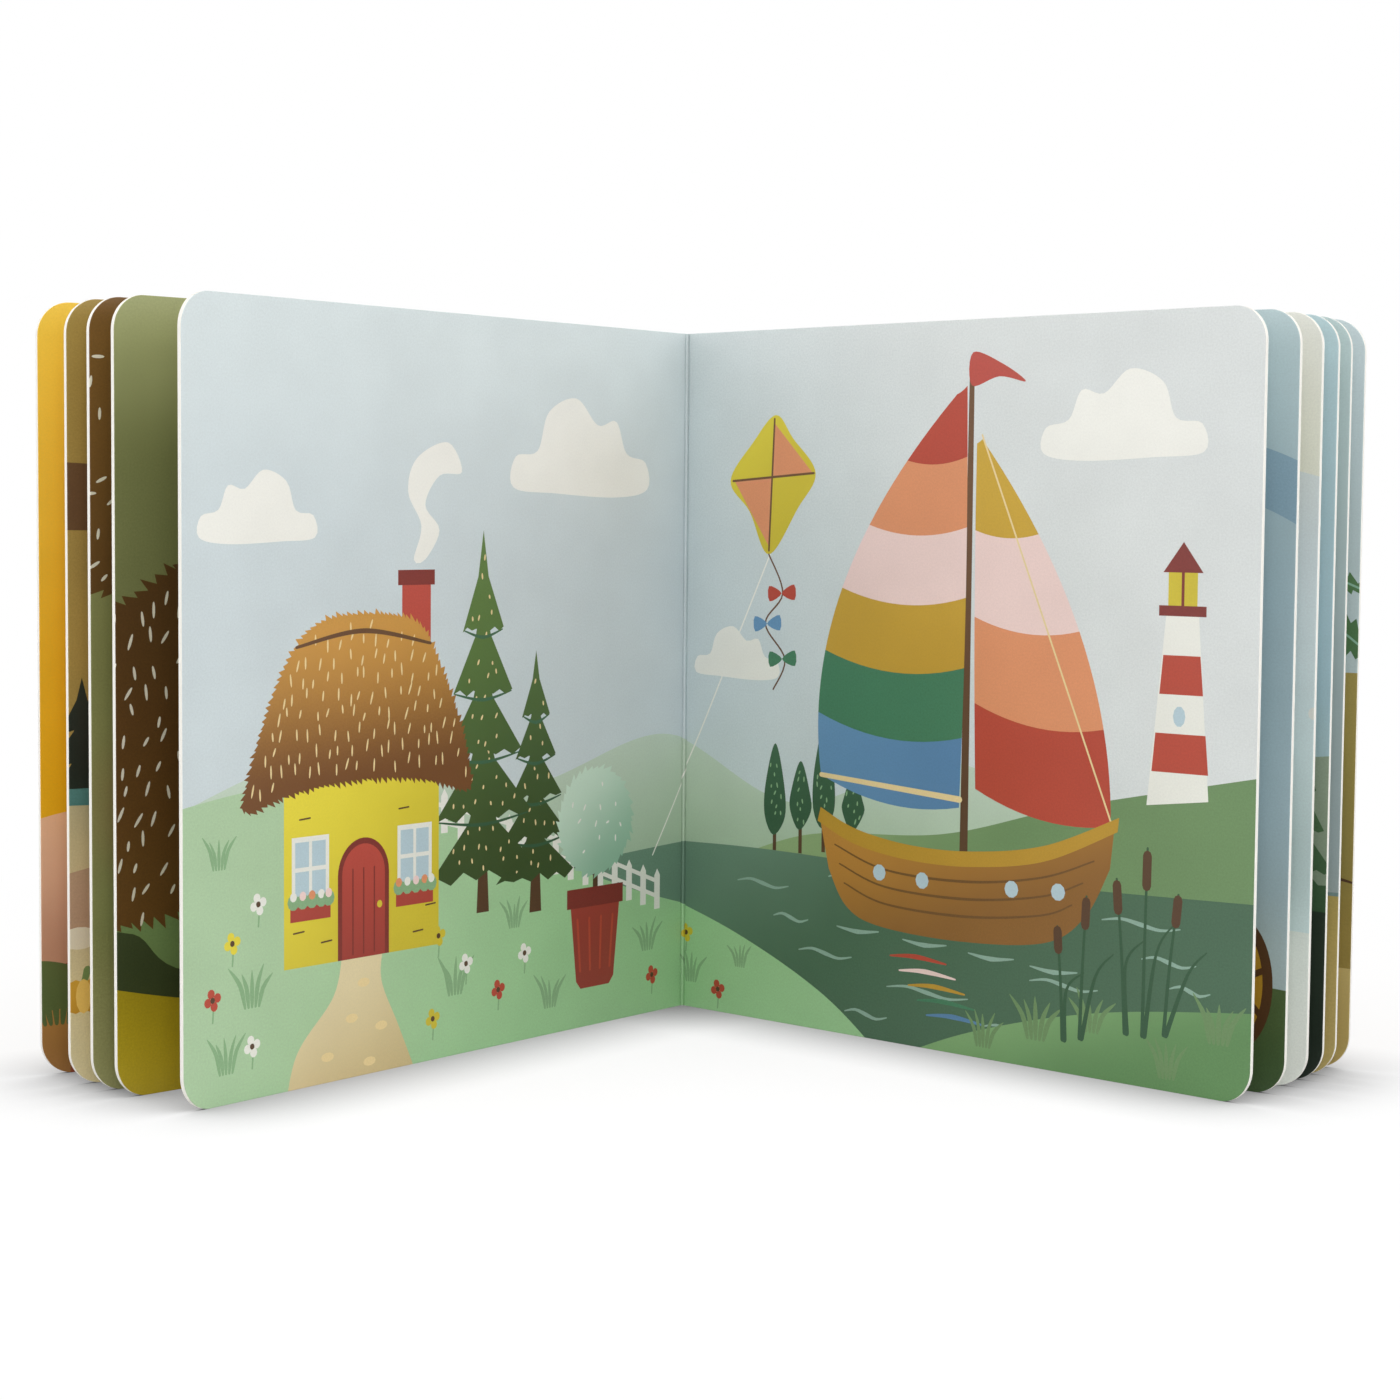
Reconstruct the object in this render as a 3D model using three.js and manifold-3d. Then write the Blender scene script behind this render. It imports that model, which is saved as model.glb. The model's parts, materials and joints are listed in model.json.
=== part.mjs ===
// A square board book standing open in the middle on its bottom edges. Millimetres, +Z up; the open
// spread faces -Y. Each spread is one sheet of stiff card, creased and folded, and glued back to back to
// the spreads before and after it. So a leaf is two sheets thick, neighbouring leaves are joined only at
// the fold that they share, and the opened book fans out from fold to fold.
import * as THREE from "three";
import { mergeVertices } from "three/addons/utils/BufferGeometryUtils.js";
import Module from "manifold-3d";

const wasm = await Module();
wasm.setup();

// Driving dimensions
const PAGE_WIDTH = 180; // from the fold to the fore-edge
const PAGE_HEIGHT = 180;
const SHEET = 0.6; // one sheet of card
const LEAF = 2 * SHEET; // two sheets glued back to back
const CORNER_RADIUS = 8; // die-cut corners at the fore-edge

// How far each leaf is turned out from straight ahead (-Y), in degrees, from the open spread outwards.
// The last leaf of each side carries the cover.
const LEFT_TURNS = [37.0, 43.95, 46.7, 49.55, 53.9];
const RIGHT_TURNS = [45.8, 50.15, 53.3, 55.85, 58.1, 61.05];

const FOLD_BEAD_RADIUS = 0.36; // the ridge that a creased sheet makes along its fold
const FOLD_GROOVE_RUN = 1; // beside the bead a leaf's face curves down into a groove,
const FOLD_GROOVE_DROP = 0.5; // a quarter ellipse in section
const HINGE_SETBACK = 0.75; // from a cover's hinge line to the edge of its leaf
const SPINE_SETBACK = 0.25; // from a cover's hinge line to the edge of the spine strip
const CORNER_STEPS = 10;
const FOLD_STEPS = 3;
const BEAD_SIDES = 12;
const SPINE_STEPS = 28;

const LEFT = -1;
const RIGHT = 1;

const whiteCard = new THREE.MeshStandardMaterial({ color: 0xf3f1ea, roughness: 0.7, metalness: 0 });
const frontCoverPrint = new THREE.MeshStandardMaterial({ color: 0xd9a92f, roughness: 0.5, metalness: 0 });
const backCoverPrint = new THREE.MeshStandardMaterial({ color: 0xa9b5b4, roughness: 0.5, metalness: 0 });
const spinePrint = new THREE.MeshStandardMaterial({ color: 0xc79a33, roughness: 0.5, metalness: 0 });

// A closed mesh as a solid that can be joined and cut.
function toSolid(geometry) {
  const bare = geometry.clone();
  bare.deleteAttribute("normal");
  bare.deleteAttribute("uv");
  const merged = mergeVertices(bare, 1e-5);
  return new wasm.Manifold(new wasm.Mesh({
    numProp: 3,
    vertProperties: Float32Array.from(merged.attributes.position.array),
    triVerts: Uint32Array.from(merged.index.array),
  }));
}

function toGeometry(solid) {
  const mesh = solid.getMesh();
  const geometry = new THREE.BufferGeometry();
  geometry.setAttribute("position", new THREE.BufferAttribute(mesh.vertProperties, 3));
  geometry.setIndex(new THREE.BufferAttribute(mesh.triVerts, 1));
  geometry.computeVertexNormals();
  return geometry;
}

// The flat outline of a leaf, seen from the front: square at the fold, rounded at the fore-edge.
function leafOutline(foldEdge) {
  const outline = new THREE.Shape();
  outline.moveTo(foldEdge, 0);
  outline.lineTo(PAGE_WIDTH - CORNER_RADIUS, 0);
  outline.absarc(PAGE_WIDTH - CORNER_RADIUS, CORNER_RADIUS, CORNER_RADIUS, -Math.PI / 2, 0);
  outline.lineTo(PAGE_WIDTH, PAGE_HEIGHT - CORNER_RADIUS);
  outline.absarc(PAGE_WIDTH - CORNER_RADIUS, PAGE_HEIGHT - CORNER_RADIUS, CORNER_RADIUS, 0, Math.PI / 2);
  outline.lineTo(foldEdge, PAGE_HEIGHT);
  outline.closePath();
  return outline;
}

// A leaf lies along +X from its fold, stands along +Z and is thick along Y, on the side that `side`
// gives: its inner face, turned to the open spread, is the plane y = 0.
function leafPlate(foldEdge, side) {
  const plate = new THREE.ExtrudeGeometry(leafOutline(foldEdge), {
    depth: LEAF,
    bevelEnabled: false,
    curveSegments: CORNER_STEPS,
  });
  plate.rotateX(Math.PI / 2);
  plate.translate(0, side === RIGHT ? LEAF : 0, 0);
  return plate;
}

// The leaf's section from above: both faces curve down into the folds at its spine edge.
function foldSection(side) {
  const run = FOLD_GROOVE_RUN;
  const drop = FOLD_GROOVE_DROP;
  const low = side === RIGHT ? 0 : -LEAF;
  const high = low + LEAF;
  const section = new THREE.Shape();
  section.moveTo(PAGE_WIDTH + 1, low);
  section.lineTo(PAGE_WIDTH + 1, high);
  section.lineTo(run, high);
  section.absellipse(run, high - drop, run, drop, Math.PI / 2, Math.PI);
  section.lineTo(0, low + drop);
  section.absellipse(run, low + drop, run, drop, Math.PI, Math.PI * 1.5);
  section.closePath();
  return section;
}

function innerLeaf(side) {
  const roundedEdge = new THREE.ExtrudeGeometry(foldSection(side), {
    depth: PAGE_HEIGHT + 2,
    bevelEnabled: false,
    curveSegments: FOLD_STEPS,
  });
  roundedEdge.translate(0, 0, -1);
  return toSolid(leafPlate(-1, side)).intersect(toSolid(roundedEdge));
}

function foldBead() {
  const bead = new THREE.CylinderGeometry(FOLD_BEAD_RADIUS, FOLD_BEAD_RADIUS, PAGE_HEIGHT, BEAD_SIDES);
  bead.rotateX(Math.PI / 2);
  bead.translate(0, 0, PAGE_HEIGHT / 2);
  return toSolid(bead);
}

// Where every leaf of one side stands: the fold that it turns on, and its heading about Z. The fold to
// the next leaf outwards is one leaf thickness away, square to the leaf.
function leafPlaces(side, turns) {
  const fold = new THREE.Vector2(0, 0);
  return turns.map((turn) => {
    const heading = side * THREE.MathUtils.degToRad(turn) - Math.PI / 2;
    const place = { side, heading, fold: fold.clone() };
    const outwards = new THREE.Vector2(0, side * LEAF).rotateAround(new THREE.Vector2(), heading);
    fold.add(outwards);
    return place;
  });
}

function placed(solid, place) {
  return solid
    .rotate([0, 0, THREE.MathUtils.radToDeg(place.heading)])
    .translate([place.fold.x, place.fold.y, 0]);
}

const leftPlaces = leafPlaces(LEFT, LEFT_TURNS);
const rightPlaces = leafPlaces(RIGHT, RIGHT_TURNS);
const frontCoverPlace = leftPlaces.at(-1);
const backCoverPlace = rightPlaces.at(-1);

// The pages: all leaves between the two covers, with the fold beads that join them. The outermost beads
// are the folds that the covers turn on.
function makePages() {
  const folds = [...leftPlaces, ...rightPlaces.slice(1)];
  const leaves = [...leftPlaces.slice(0, -1), ...rightPlaces.slice(0, -1)];
  let block = placed(innerLeaf(leaves[0].side), leaves[0]);
  for (const place of leaves.slice(1)) {
    block = block.add(placed(innerLeaf(place.side), place));
  }
  for (const { fold } of folds) {
    block = block.add(foldBead().translate([fold.x, fold.y, 0]));
  }
  const pages = new THREE.Mesh(toGeometry(block), whiteCard);
  pages.name = "pages";
  return pages;
}

// A cover: the outermost leaf, whose outer sheet is the cover sheet. It is cut back from the fold that
// it swings on.
function makeCover(name, place, material) {
  const geometry = leafPlate(HINGE_SETBACK, place.side);
  const cover = new THREE.Mesh(geometry, material);
  cover.name = name;
  cover.position.set(place.fold.x, place.fold.y, 0);
  cover.rotation.z = place.heading;
  return cover;
}

// The middle of the cover sheet's thickness, where it leaves a cover for the spine.
function spineEdge(place) {
  const local = new THREE.Vector2(SPINE_SETBACK, place.side * (LEAF - SHEET / 2));
  return local.rotateAround(new THREE.Vector2(), place.heading).add(place.fold);
}

// Half the angle of an arc whose length and chord are given.
function arcHalfAngle(length, chord) {
  let low = 1e-6;
  let high = Math.PI;
  for (let step = 0; step < 60; step += 1) {
    const middle = (low + high) / 2;
    if (Math.sin(middle) / middle > chord / length) {
      low = middle;
    } else {
      high = middle;
    }
  }
  return low;
}

// The spine: the strip of the cover sheet between the covers. It is as wide as the closed book is thick,
// isn't glued to the leaves, and bows out behind them when the book stands open.
function makeSpine() {
  const left = spineEdge(frontCoverPlace);
  const right = spineEdge(backCoverPlace);
  const stripWidth = LEAF * (leftPlaces.length + rightPlaces.length);
  const chord = right.clone().sub(left);
  const halfAngle = arcHalfAngle(stripWidth, chord.length());
  const radius = stripWidth / (2 * halfAngle);
  const strip = new THREE.Shape();
  strip.absarc(0, 0, radius + SHEET / 2, Math.PI / 2 - halfAngle, Math.PI / 2 + halfAngle, false);
  strip.absarc(0, 0, radius - SHEET / 2, Math.PI / 2 + halfAngle, Math.PI / 2 - halfAngle, true);
  strip.closePath();
  const geometry = new THREE.ExtrudeGeometry(strip, {
    depth: PAGE_HEIGHT,
    bevelEnabled: false,
    curveSegments: SPINE_STEPS,
  });
  const spine = new THREE.Mesh(geometry, spinePrint);
  const middle = left.clone().add(right).divideScalar(2);
  const centre = new THREE.Vector2(0, -radius * Math.cos(halfAngle))
    .rotateAround(new THREE.Vector2(), chord.angle())
    .add(middle);
  spine.name = "spine";
  spine.position.set(centre.x, centre.y, 0);
  spine.rotation.z = chord.angle();
  return spine;
}

const book = new THREE.Group();
book.add(
  makePages(),
  makeCover("front_cover", frontCoverPlace, frontCoverPrint),
  makeCover("back_cover", backCoverPlace, backCoverPrint),
  makeSpine(),
);

// The origin is the middle of the book's footprint, on the surface that it stands on.
const footprint = new THREE.Box3().setFromObject(book, true).getCenter(new THREE.Vector3());
book.position.set(-footprint.x, -footprint.y, 0);

export default book;
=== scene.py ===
# A square board book standing open in the middle on its bottom edges, in the order it is put together:
# where its leaves stand, the folded card, the inks, the ten printed spreads from the first to the last,
# the cover sheet with its spine, and then the table and the light. Lengths are in millimetres.
import json
import math
import random

import bmesh
import bpy
from mathutils import Matrix, Vector
from mathutils.geometry import delaunay_2d_cdt


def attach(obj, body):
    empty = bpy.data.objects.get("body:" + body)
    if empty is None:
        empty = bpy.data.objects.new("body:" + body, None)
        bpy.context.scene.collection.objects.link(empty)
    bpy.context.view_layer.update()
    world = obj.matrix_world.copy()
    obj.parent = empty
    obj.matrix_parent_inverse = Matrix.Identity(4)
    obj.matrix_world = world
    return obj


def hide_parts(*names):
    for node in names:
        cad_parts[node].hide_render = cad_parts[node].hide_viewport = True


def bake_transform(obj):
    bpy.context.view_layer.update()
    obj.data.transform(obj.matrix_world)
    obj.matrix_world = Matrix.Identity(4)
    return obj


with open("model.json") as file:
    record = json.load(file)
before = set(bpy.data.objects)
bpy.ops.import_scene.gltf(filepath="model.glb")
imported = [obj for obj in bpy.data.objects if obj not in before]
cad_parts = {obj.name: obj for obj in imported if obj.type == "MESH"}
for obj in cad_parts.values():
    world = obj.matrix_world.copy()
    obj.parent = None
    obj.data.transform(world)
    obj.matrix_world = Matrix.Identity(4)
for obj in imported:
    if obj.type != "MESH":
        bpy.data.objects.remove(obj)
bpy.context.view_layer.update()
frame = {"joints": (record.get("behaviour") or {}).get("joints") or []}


# --- Where the leaves stand -----------------------------------------------------------------------
# Eleven stiff leaves fan out from fold to fold. Each is two sheets of card glued back to back, and
# shares one fold with the leaf before it and one with the leaf after it, a leaf's thickness apart.
MM = 0.001
SHEET = 0.6
LEAF = 2 * SHEET
PAGE = 180.0  # width and height of a page
LEAF_TURNS = [-53.9, -49.55, -46.7, -43.95, -37.0, 45.8, 50.15, 53.3, 55.85, 58.1, 61.05]
LEFT_LEAVES = 5  # the book stands open after its fifth leaf


class Leaf:
    """A leaf in reading order: `along` runs from its folds to its fore-edge, `across` to the next leaf."""

    def __init__(self, turn, fold_before=None, fold_after=None):
        heading = math.radians(turn - 90)
        self.turn = turn
        self.along = Vector((math.cos(heading), math.sin(heading), 0))
        self.across = Vector((-math.sin(heading), math.cos(heading), 0))
        self.fold_before = fold_before or fold_after - LEAF * self.across
        self.fold_after = fold_after or fold_before + LEAF * self.across


front_hinge = next(joint for joint in frame["joints"] if joint["name"] == "front_cover_hinge")
first_fold = Vector((*front_hinge["pos_m"][:2], 0)) / MM
leaves = [Leaf(LEAF_TURNS[0], fold_after=first_fold)]
for turn in LEAF_TURNS[1:]:
    leaves.append(Leaf(turn, fold_before=leaves[-1].fold_after))


# --- The camera -----------------------------------------------------------------------------------
# It looks square at the open fold, from a little above the book's middle, and is tipped a little down.
# It also leans by half a degree, as a camera on a stand does.
open_fold = leaves[LEFT_LEAVES].fold_before
camera_place = open_fold + Vector((4.191, -760.686, 133.187))
camera = bpy.data.objects.new("camera", bpy.data.cameras.new("camera"))
bpy.context.scene.collection.objects.link(camera)
bpy.context.scene.camera = camera
camera.data.lens = 73.15
camera.data.sensor_width = 36
camera.data.clip_start = 0.05
pitch = math.radians(3.809)
roll = math.radians(0.487)
ahead = Vector((0, math.cos(pitch), -math.sin(pitch)))
level_right = Vector((1, 0, 0))
level_up = level_right.cross(ahead)
camera_right = math.cos(roll) * level_right + math.sin(roll) * level_up
camera_up = math.cos(roll) * level_up - math.sin(roll) * level_right
turned = Matrix((camera_right, camera_up, -ahead)).transposed().to_4x4()
camera.matrix_world = Matrix.Translation(camera_place * MM) @ turned


# --- The folded card ------------------------------------------------------------------------------
# One page of a spread: a die-cut sheet of card, printed on its face and glued at its back. Beside the
# fold its face is creased into a groove, and rises again over half of the bead that the crease leaves.
BEAD = 0.36  # radius of the bead
GROOVE = 0.5  # how deep the face is pressed in beside the bead
GROOVE_FLOOR = 0.68  # it stays that deep up to this distance from the fold
GROOVE_RUN = 1.0  # and has risen again at this one
GROOVE_WALL = 0.04  # how far from the bead the groove has reached its floor
GROOVE_STEPS = 8
CORNER = 8.0  # radius of the die-cut corners
ROLLED = 0.14  # the die presses this much of a cut edge down
ROLL_DROP = 0.06
ROLL_EASE = 0.5  # past the groove, the stretch over which the pressing sets in
GLUE_GAP = 0.005  # half of what lies between the backs of two sheets
BACK = GLUE_GAP - SHEET  # height of a sheet's back
CAP_AT = 2.0  # nearer the fold than this, the cut end of a sheet is one face
TIED = 1e-3  # points nearer than this are the same
INSIDE = 1  # asks the triangulation for what lies inside an outline
MERGED = 1e-4  # and to merge points nearer than this

# Where each part of a sheet lies on its texture: the print, then the cut edge, then what is hidden.
MARGIN = 0.005
PRINT_WIDE = 0.955
PRINT_HIGH = 0.99
EDGE_LEFT, EDGE_RIGHT = 0.972, 0.977
HIDDEN_LEFT = 0.988
HIDDEN_WIDE = 0.008
HIDDEN_FOOT = 0.01
HIDDEN_HIGH = 0.4


def arc(radius, begin, end, most):
    """Points of an arc about the fold, from one angle to another in degrees, at most `most` apart."""
    steps = max(2, math.ceil(abs(end - begin) / most))
    angles = [math.radians(begin + (end - begin) * step / steps) for step in range(steps + 1)]
    return [(radius * math.cos(angle), radius * math.sin(angle)) for angle in angles]


def fold_section(ends_at):
    """The section of a page beside its fold, as (x, height) from the middle of the bead, along the
    printed face and along the back. The sheet ends on the bead, at the angle `ends_at`."""
    face = arc(BEAD, ends_at, 0, 9) + [(BEAD + GROOVE_WALL, -GROOVE)]
    for step in range(GROOVE_STEPS + 1):
        rise = (1 - math.cos(math.pi * step / GROOVE_STEPS)) / 2
        face.append((GROOVE_FLOOR + (GROOVE_RUN - GROOVE_FLOOR) * step / GROOVE_STEPS, GROOVE * (rise - 1)))
    rear = [(0, BACK)] + arc(BEAD, -90, ends_at - 180, 12)
    return face, rear


def signed_area(loop):
    return sum(a[0] * b[1] - b[0] * a[1] for a, b in zip(loop, loop[1:] + loop[:1])) / 2


def die_line(start, width, inset):
    """The die's outline, `inset` from its edge: square at the fold, round at the fore-edge."""
    middle = width - CORNER
    lower = [(start, inset)] + [(middle + x, CORNER + y) for x, y in arc(CORNER - inset, -90, 0, 6)]
    return lower + [(x, PAGE - y) for x, y in reversed(lower)]


def from_edge(run, y, width):
    """How far a point of the sheet lies from the nearest cut edge."""
    over = run - (width - CORNER)
    under = CORNER - min(y, PAGE - y)
    if over > 0 and under > 0:
        return CORNER - math.hypot(over, under)
    return min(y, PAGE - y, width - run)


def cut_up(start, width, runs, outlines):
    """Cuts a printed face along the die line, at each of the runs and round every printed outline.
    Returns its points, its triangles and, for each triangle, which outline is on top."""
    points = []

    def add(path):
        points.extend(Vector(point) for point in path)
        return list(range(len(points) - len(path), len(points)))

    loops = [add(die_line(start, width, 0))]
    for outline in outlines:
        loop = outline if signed_area(outline) > 0 else outline[::-1]
        lowest = loop.index(min(loop, key=lambda point: point[1]))
        loops.append(add(loop[lowest:] + loop[:lowest]))  # it is filled from its first side, so from below
    inset = add(die_line(start, width, ROLLED))
    lines = list(zip(inset, inset[1:])) + [tuple(add([(run, 0), (run, PAGE)])) for run in runs]
    points, _, triangles, _, _, sources = delaunay_2d_cdt(points, lines, loops, INSIDE, MERGED, True)
    kept = [(triangle, max(found) - 1) for triangle, found in zip(triangles, sources) if 0 in found]
    used = sorted({i for triangle, _ in kept for i in triangle})
    place = {old: new for new, old in enumerate(used)}
    triangles = [[place[i] for i in triangle] for triangle, _ in kept]
    return [points[i] for i in used], triangles, [top for _, top in kept]


def rim_of(faces):
    """The points round the outside of the faces, in order."""
    sides = {(a, b) for face in faces for a, b in zip(face, face[1:] + face[:1])}
    after = {a: b for a, b in sides if (b, a) not in sides}
    rim = [next(iter(after))]
    while after[rim[-1]] != rim[0]:
        rim.append(after[rim[-1]])
    return rim


def map_corners(left, right, low, high):
    """Where the corners of a four-sided face lie on the texture, up its left side and down its right."""
    return [(left, low), (left, high), (right, high), (right, low)]


class Sheet:
    """A closed sheet of card while it is made. `side` is -1 if its print runs to the left of the fold."""

    def __init__(self, side):
        self.side = side
        self.places = []  # x from the fold, height over the printed face, y up from the bottom edge
        self.prints = []  # where each point lies on the print
        self.faces = []
        self.slots = []
        self.maps = []

    def point(self, x, height, y, run):
        self.places.append((x, height, y))
        self.prints.append((self.side * run, y, 0))
        return len(self.places) - 1

    def face(self, corners, slot, on_map):
        self.faces.append(corners)
        self.slots.append(slot)
        self.maps.append(on_map)

    def build(self, name, fold, along, out, materials):
        """Makes the piece, with `along` running from the fold and `out` pointing out of the print."""
        places = [(fold + x * along + height * out + Vector((0, 0, y))) * MM for x, height, y in self.places]
        mesh = bpy.data.meshes.new(name)
        mesh.from_pydata(places, [], self.faces)
        for material in materials:
            mesh.materials.append(material)
        mesh.polygons.foreach_set("material_index", self.slots)
        mesh.attributes.new("print", "FLOAT_VECTOR", "POINT").data.foreach_set(
            "vector", [value for place in self.prints for value in place])
        mesh.uv_layers.new(name="OFBake").data.foreach_set(
            "uv", [value for face in self.maps for pair in face for value in pair])
        shaped = bmesh.new()
        shaped.from_mesh(mesh)
        bmesh.ops.recalc_face_normals(shaped, faces=shaped.faces)
        shaped.to_mesh(mesh)
        shaped.free()
        mesh.shade_smooth()
        mesh.set_sharp_from_angle(angle=math.radians(20))
        piece = bpy.data.objects.new(name, mesh)
        bpy.context.scene.collection.objects.link(piece)
        return piece


class Page(Sheet):
    """A flat sheet with a die-cut outline, whose face is printed up to a fold. Its section beside the
    fold is given along the face and along the back."""

    def __init__(self, side, section, first_run):
        super().__init__(side)
        self.path, self.rear = section
        self.runs = [first_run]
        for before, after in zip(self.path, self.path[1:]):
            self.runs.append(self.runs[-1] + math.dist(before, after))
        self.flat_from = self.runs[-1] - self.path[-1][0]  # from here a run is a distance from the fold
        self.width = self.flat_from + PAGE

    def lifted(self, run, y):
        """Where a point of the flat sheet goes when the sheet is creased and its edges are pressed."""
        x = run - self.flat_from
        height = 0
        if run < self.runs[-1]:
            k = next(i for i in range(1, len(self.runs)) if run <= self.runs[i] + TIED)
            share = (run - self.runs[k - 1]) / (self.runs[k] - self.runs[k - 1])
            x, height = Vector(self.path[k - 1]).lerp(Vector(self.path[k]), share)
        eased = min(1, max(0, (x - GROOVE_RUN) / ROLL_EASE))
        pressed = max(0, 1 - from_edge(run, y, self.width) / ROLLED) * eased
        return x, height - ROLL_DROP * pressed

    def unseen(self, corners):
        """A face that stays hidden, which gets a small patch at the side of the texture."""
        way = 0 if len({round(self.places[i][0], 2) for i in corners}) > 1 else 1
        low = min(self.places[i][way] for i in corners)
        share = HIDDEN_WIDE / (max(self.places[i][way] for i in corners) - low)
        on_map = []
        for i in corners:
            up = HIDDEN_FOOT + HIDDEN_HIGH * (way + self.places[i][2] / PAGE)
            on_map.append((HIDDEN_LEFT + share * (self.places[i][way] - low), up))
        self.face(corners, 0, on_map)

    def print_face(self, art):
        """Prints the face with `art`, a list of (ink, outline), and returns the inks that show."""
        shown = [(ink, [(self.side * x, y) for x, y in outline]) for ink, outline in art]
        shown = [(ink, line) for ink, line in shown if max(x for x, _ in line) > self.runs[0] - 1]
        cuts = self.runs[1:] + [self.flat_from + CAP_AT]
        flat, triangles, tops = cut_up(self.runs[0], self.width, cuts, [line for _, line in shown])
        inks = list(dict.fromkeys(shown[top][0] for top in tops))
        for point in flat:
            self.point(*self.lifted(point.x, point.y), point.y, point.x)
        for triangle, top in zip(triangles, tops):
            on_map = []
            for i in triangle:
                across = PRINT_WIDE * (flat[i].x - self.runs[0]) / (self.width - self.runs[0])
                on_map.append((MARGIN + across, MARGIN + PRINT_HIGH * flat[i].y / PAGE))
            self.face(triangle, 1 + inks.index(shown[top][0]), on_map)
        return flat, inks

    def close(self, flat):
        """Adds the cut edges, the glued back and the end at the fold."""
        rim = rim_of(self.faces)
        cap_run = self.flat_from + CAP_AT
        low_cap = next(i for i in rim if flat[i].y < TIED and abs(flat[i].x - cap_run) < TIED)
        rim = rim[rim.index(low_cap):] + rim[:rim.index(low_cap)]
        high_cap = next(i for i in rim if flat[i].y > PAGE - TIED and abs(flat[i].x - cap_run) < TIED)
        edge = rim[:rim.index(high_cap) + 1]
        under = [self.point(self.places[i][0], BACK, self.places[i][2], flat[i].x) for i in edge]
        length = 0
        for a, b, c, d in zip(edge, edge[1:], under[1:], under):
            reach = length + math.dist(flat[a], flat[b]) / (3 * PAGE)
            self.face([a, b, c, d], 0, map_corners(EDGE_LEFT, EDGE_RIGHT, length, reach))
            length = reach
        self.unseen(under)
        low_rear = [under[0]] + [self.point(x, height, 0, 0) for x, height in self.rear]
        high_rear = [under[-1]] + [self.point(x, height, PAGE, 0) for x, height in self.rear]
        for a, b, c, d in zip(low_rear, low_rear[1:], high_rear[1:], high_rear):
            self.unseen([a, b, c, d])
        end = sorted((i for i in rim if flat[i].x < self.runs[0] + TIED), key=lambda i: flat[i].y)
        self.unseen([high_rear[-1], low_rear[-1]] + end)
        for y, rear in ((0, low_rear), (PAGE, high_rear)):
            near = [i for i in rim if abs(flat[i].y - y) < TIED and flat[i].x < cap_run + TIED]
            self.unseen(sorted(near, key=lambda i: flat[i].x) + rear)


def srgb(code):
    """A hex colour as linear values."""
    values = [int(code[i:i + 2], 16) / 255 for i in (1, 3, 5)]
    return (*[v / 12.92 if v <= 0.04045 else ((v + 0.055) / 1.055) ** 2.4 for v in values], 1)


def node(tree, kind, settings, **links):
    """Adds a node. `settings` are its properties and plain inputs. A link's name is its socket's name or
    i and its number."""
    made = tree.nodes.new(kind)
    for key, value in settings.items():
        if isinstance(key, int) or key in made.inputs:
            made.inputs[key].default_value = value
        else:
            setattr(made, key, value)
    for key, source in links.items():
        tree.links.new(source, made.inputs[int(key[1:]) if key[1:].isdigit() else key])
    return made


def surface(name):
    """A new material, its node tree and its shader."""
    material = bpy.data.materials.new(name)
    material.use_nodes = True
    return material, material.node_tree, material.node_tree.nodes["Principled BSDF"]


# Solid bleached board: white wood pulp all through and uncoated where it is cut, so it looks matt and
# a very little warm. Its fibres are finer than can show, so they are drawn 0.3 mm wide.
board, tree, shader = surface("bleached_board")
where = node(tree, "ShaderNodeAttribute", {"attribute_name": "print"}).outputs["Vector"]
fibres = node(tree, "ShaderNodeTexNoise", {"Scale": 3.3, "Detail": 3.0}, Vector=where).outputs["Fac"]
tone = node(tree, "ShaderNodeMix", {"data_type": "RGBA", 6: srgb("#eeebe2"), 7: srgb("#f8f6f0")}, i0=fibres)
pits = node(tree, "ShaderNodeBump", {"Strength": 0.3, "Distance": 0.03 * MM}, Height=fibres)
tree.links.new(tone.outputs[2], shader.inputs["Base Color"])
tree.links.new(pits.outputs["Normal"], shader.inputs["Normal"])
shader.inputs["Roughness"].default_value = 0.75


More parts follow.
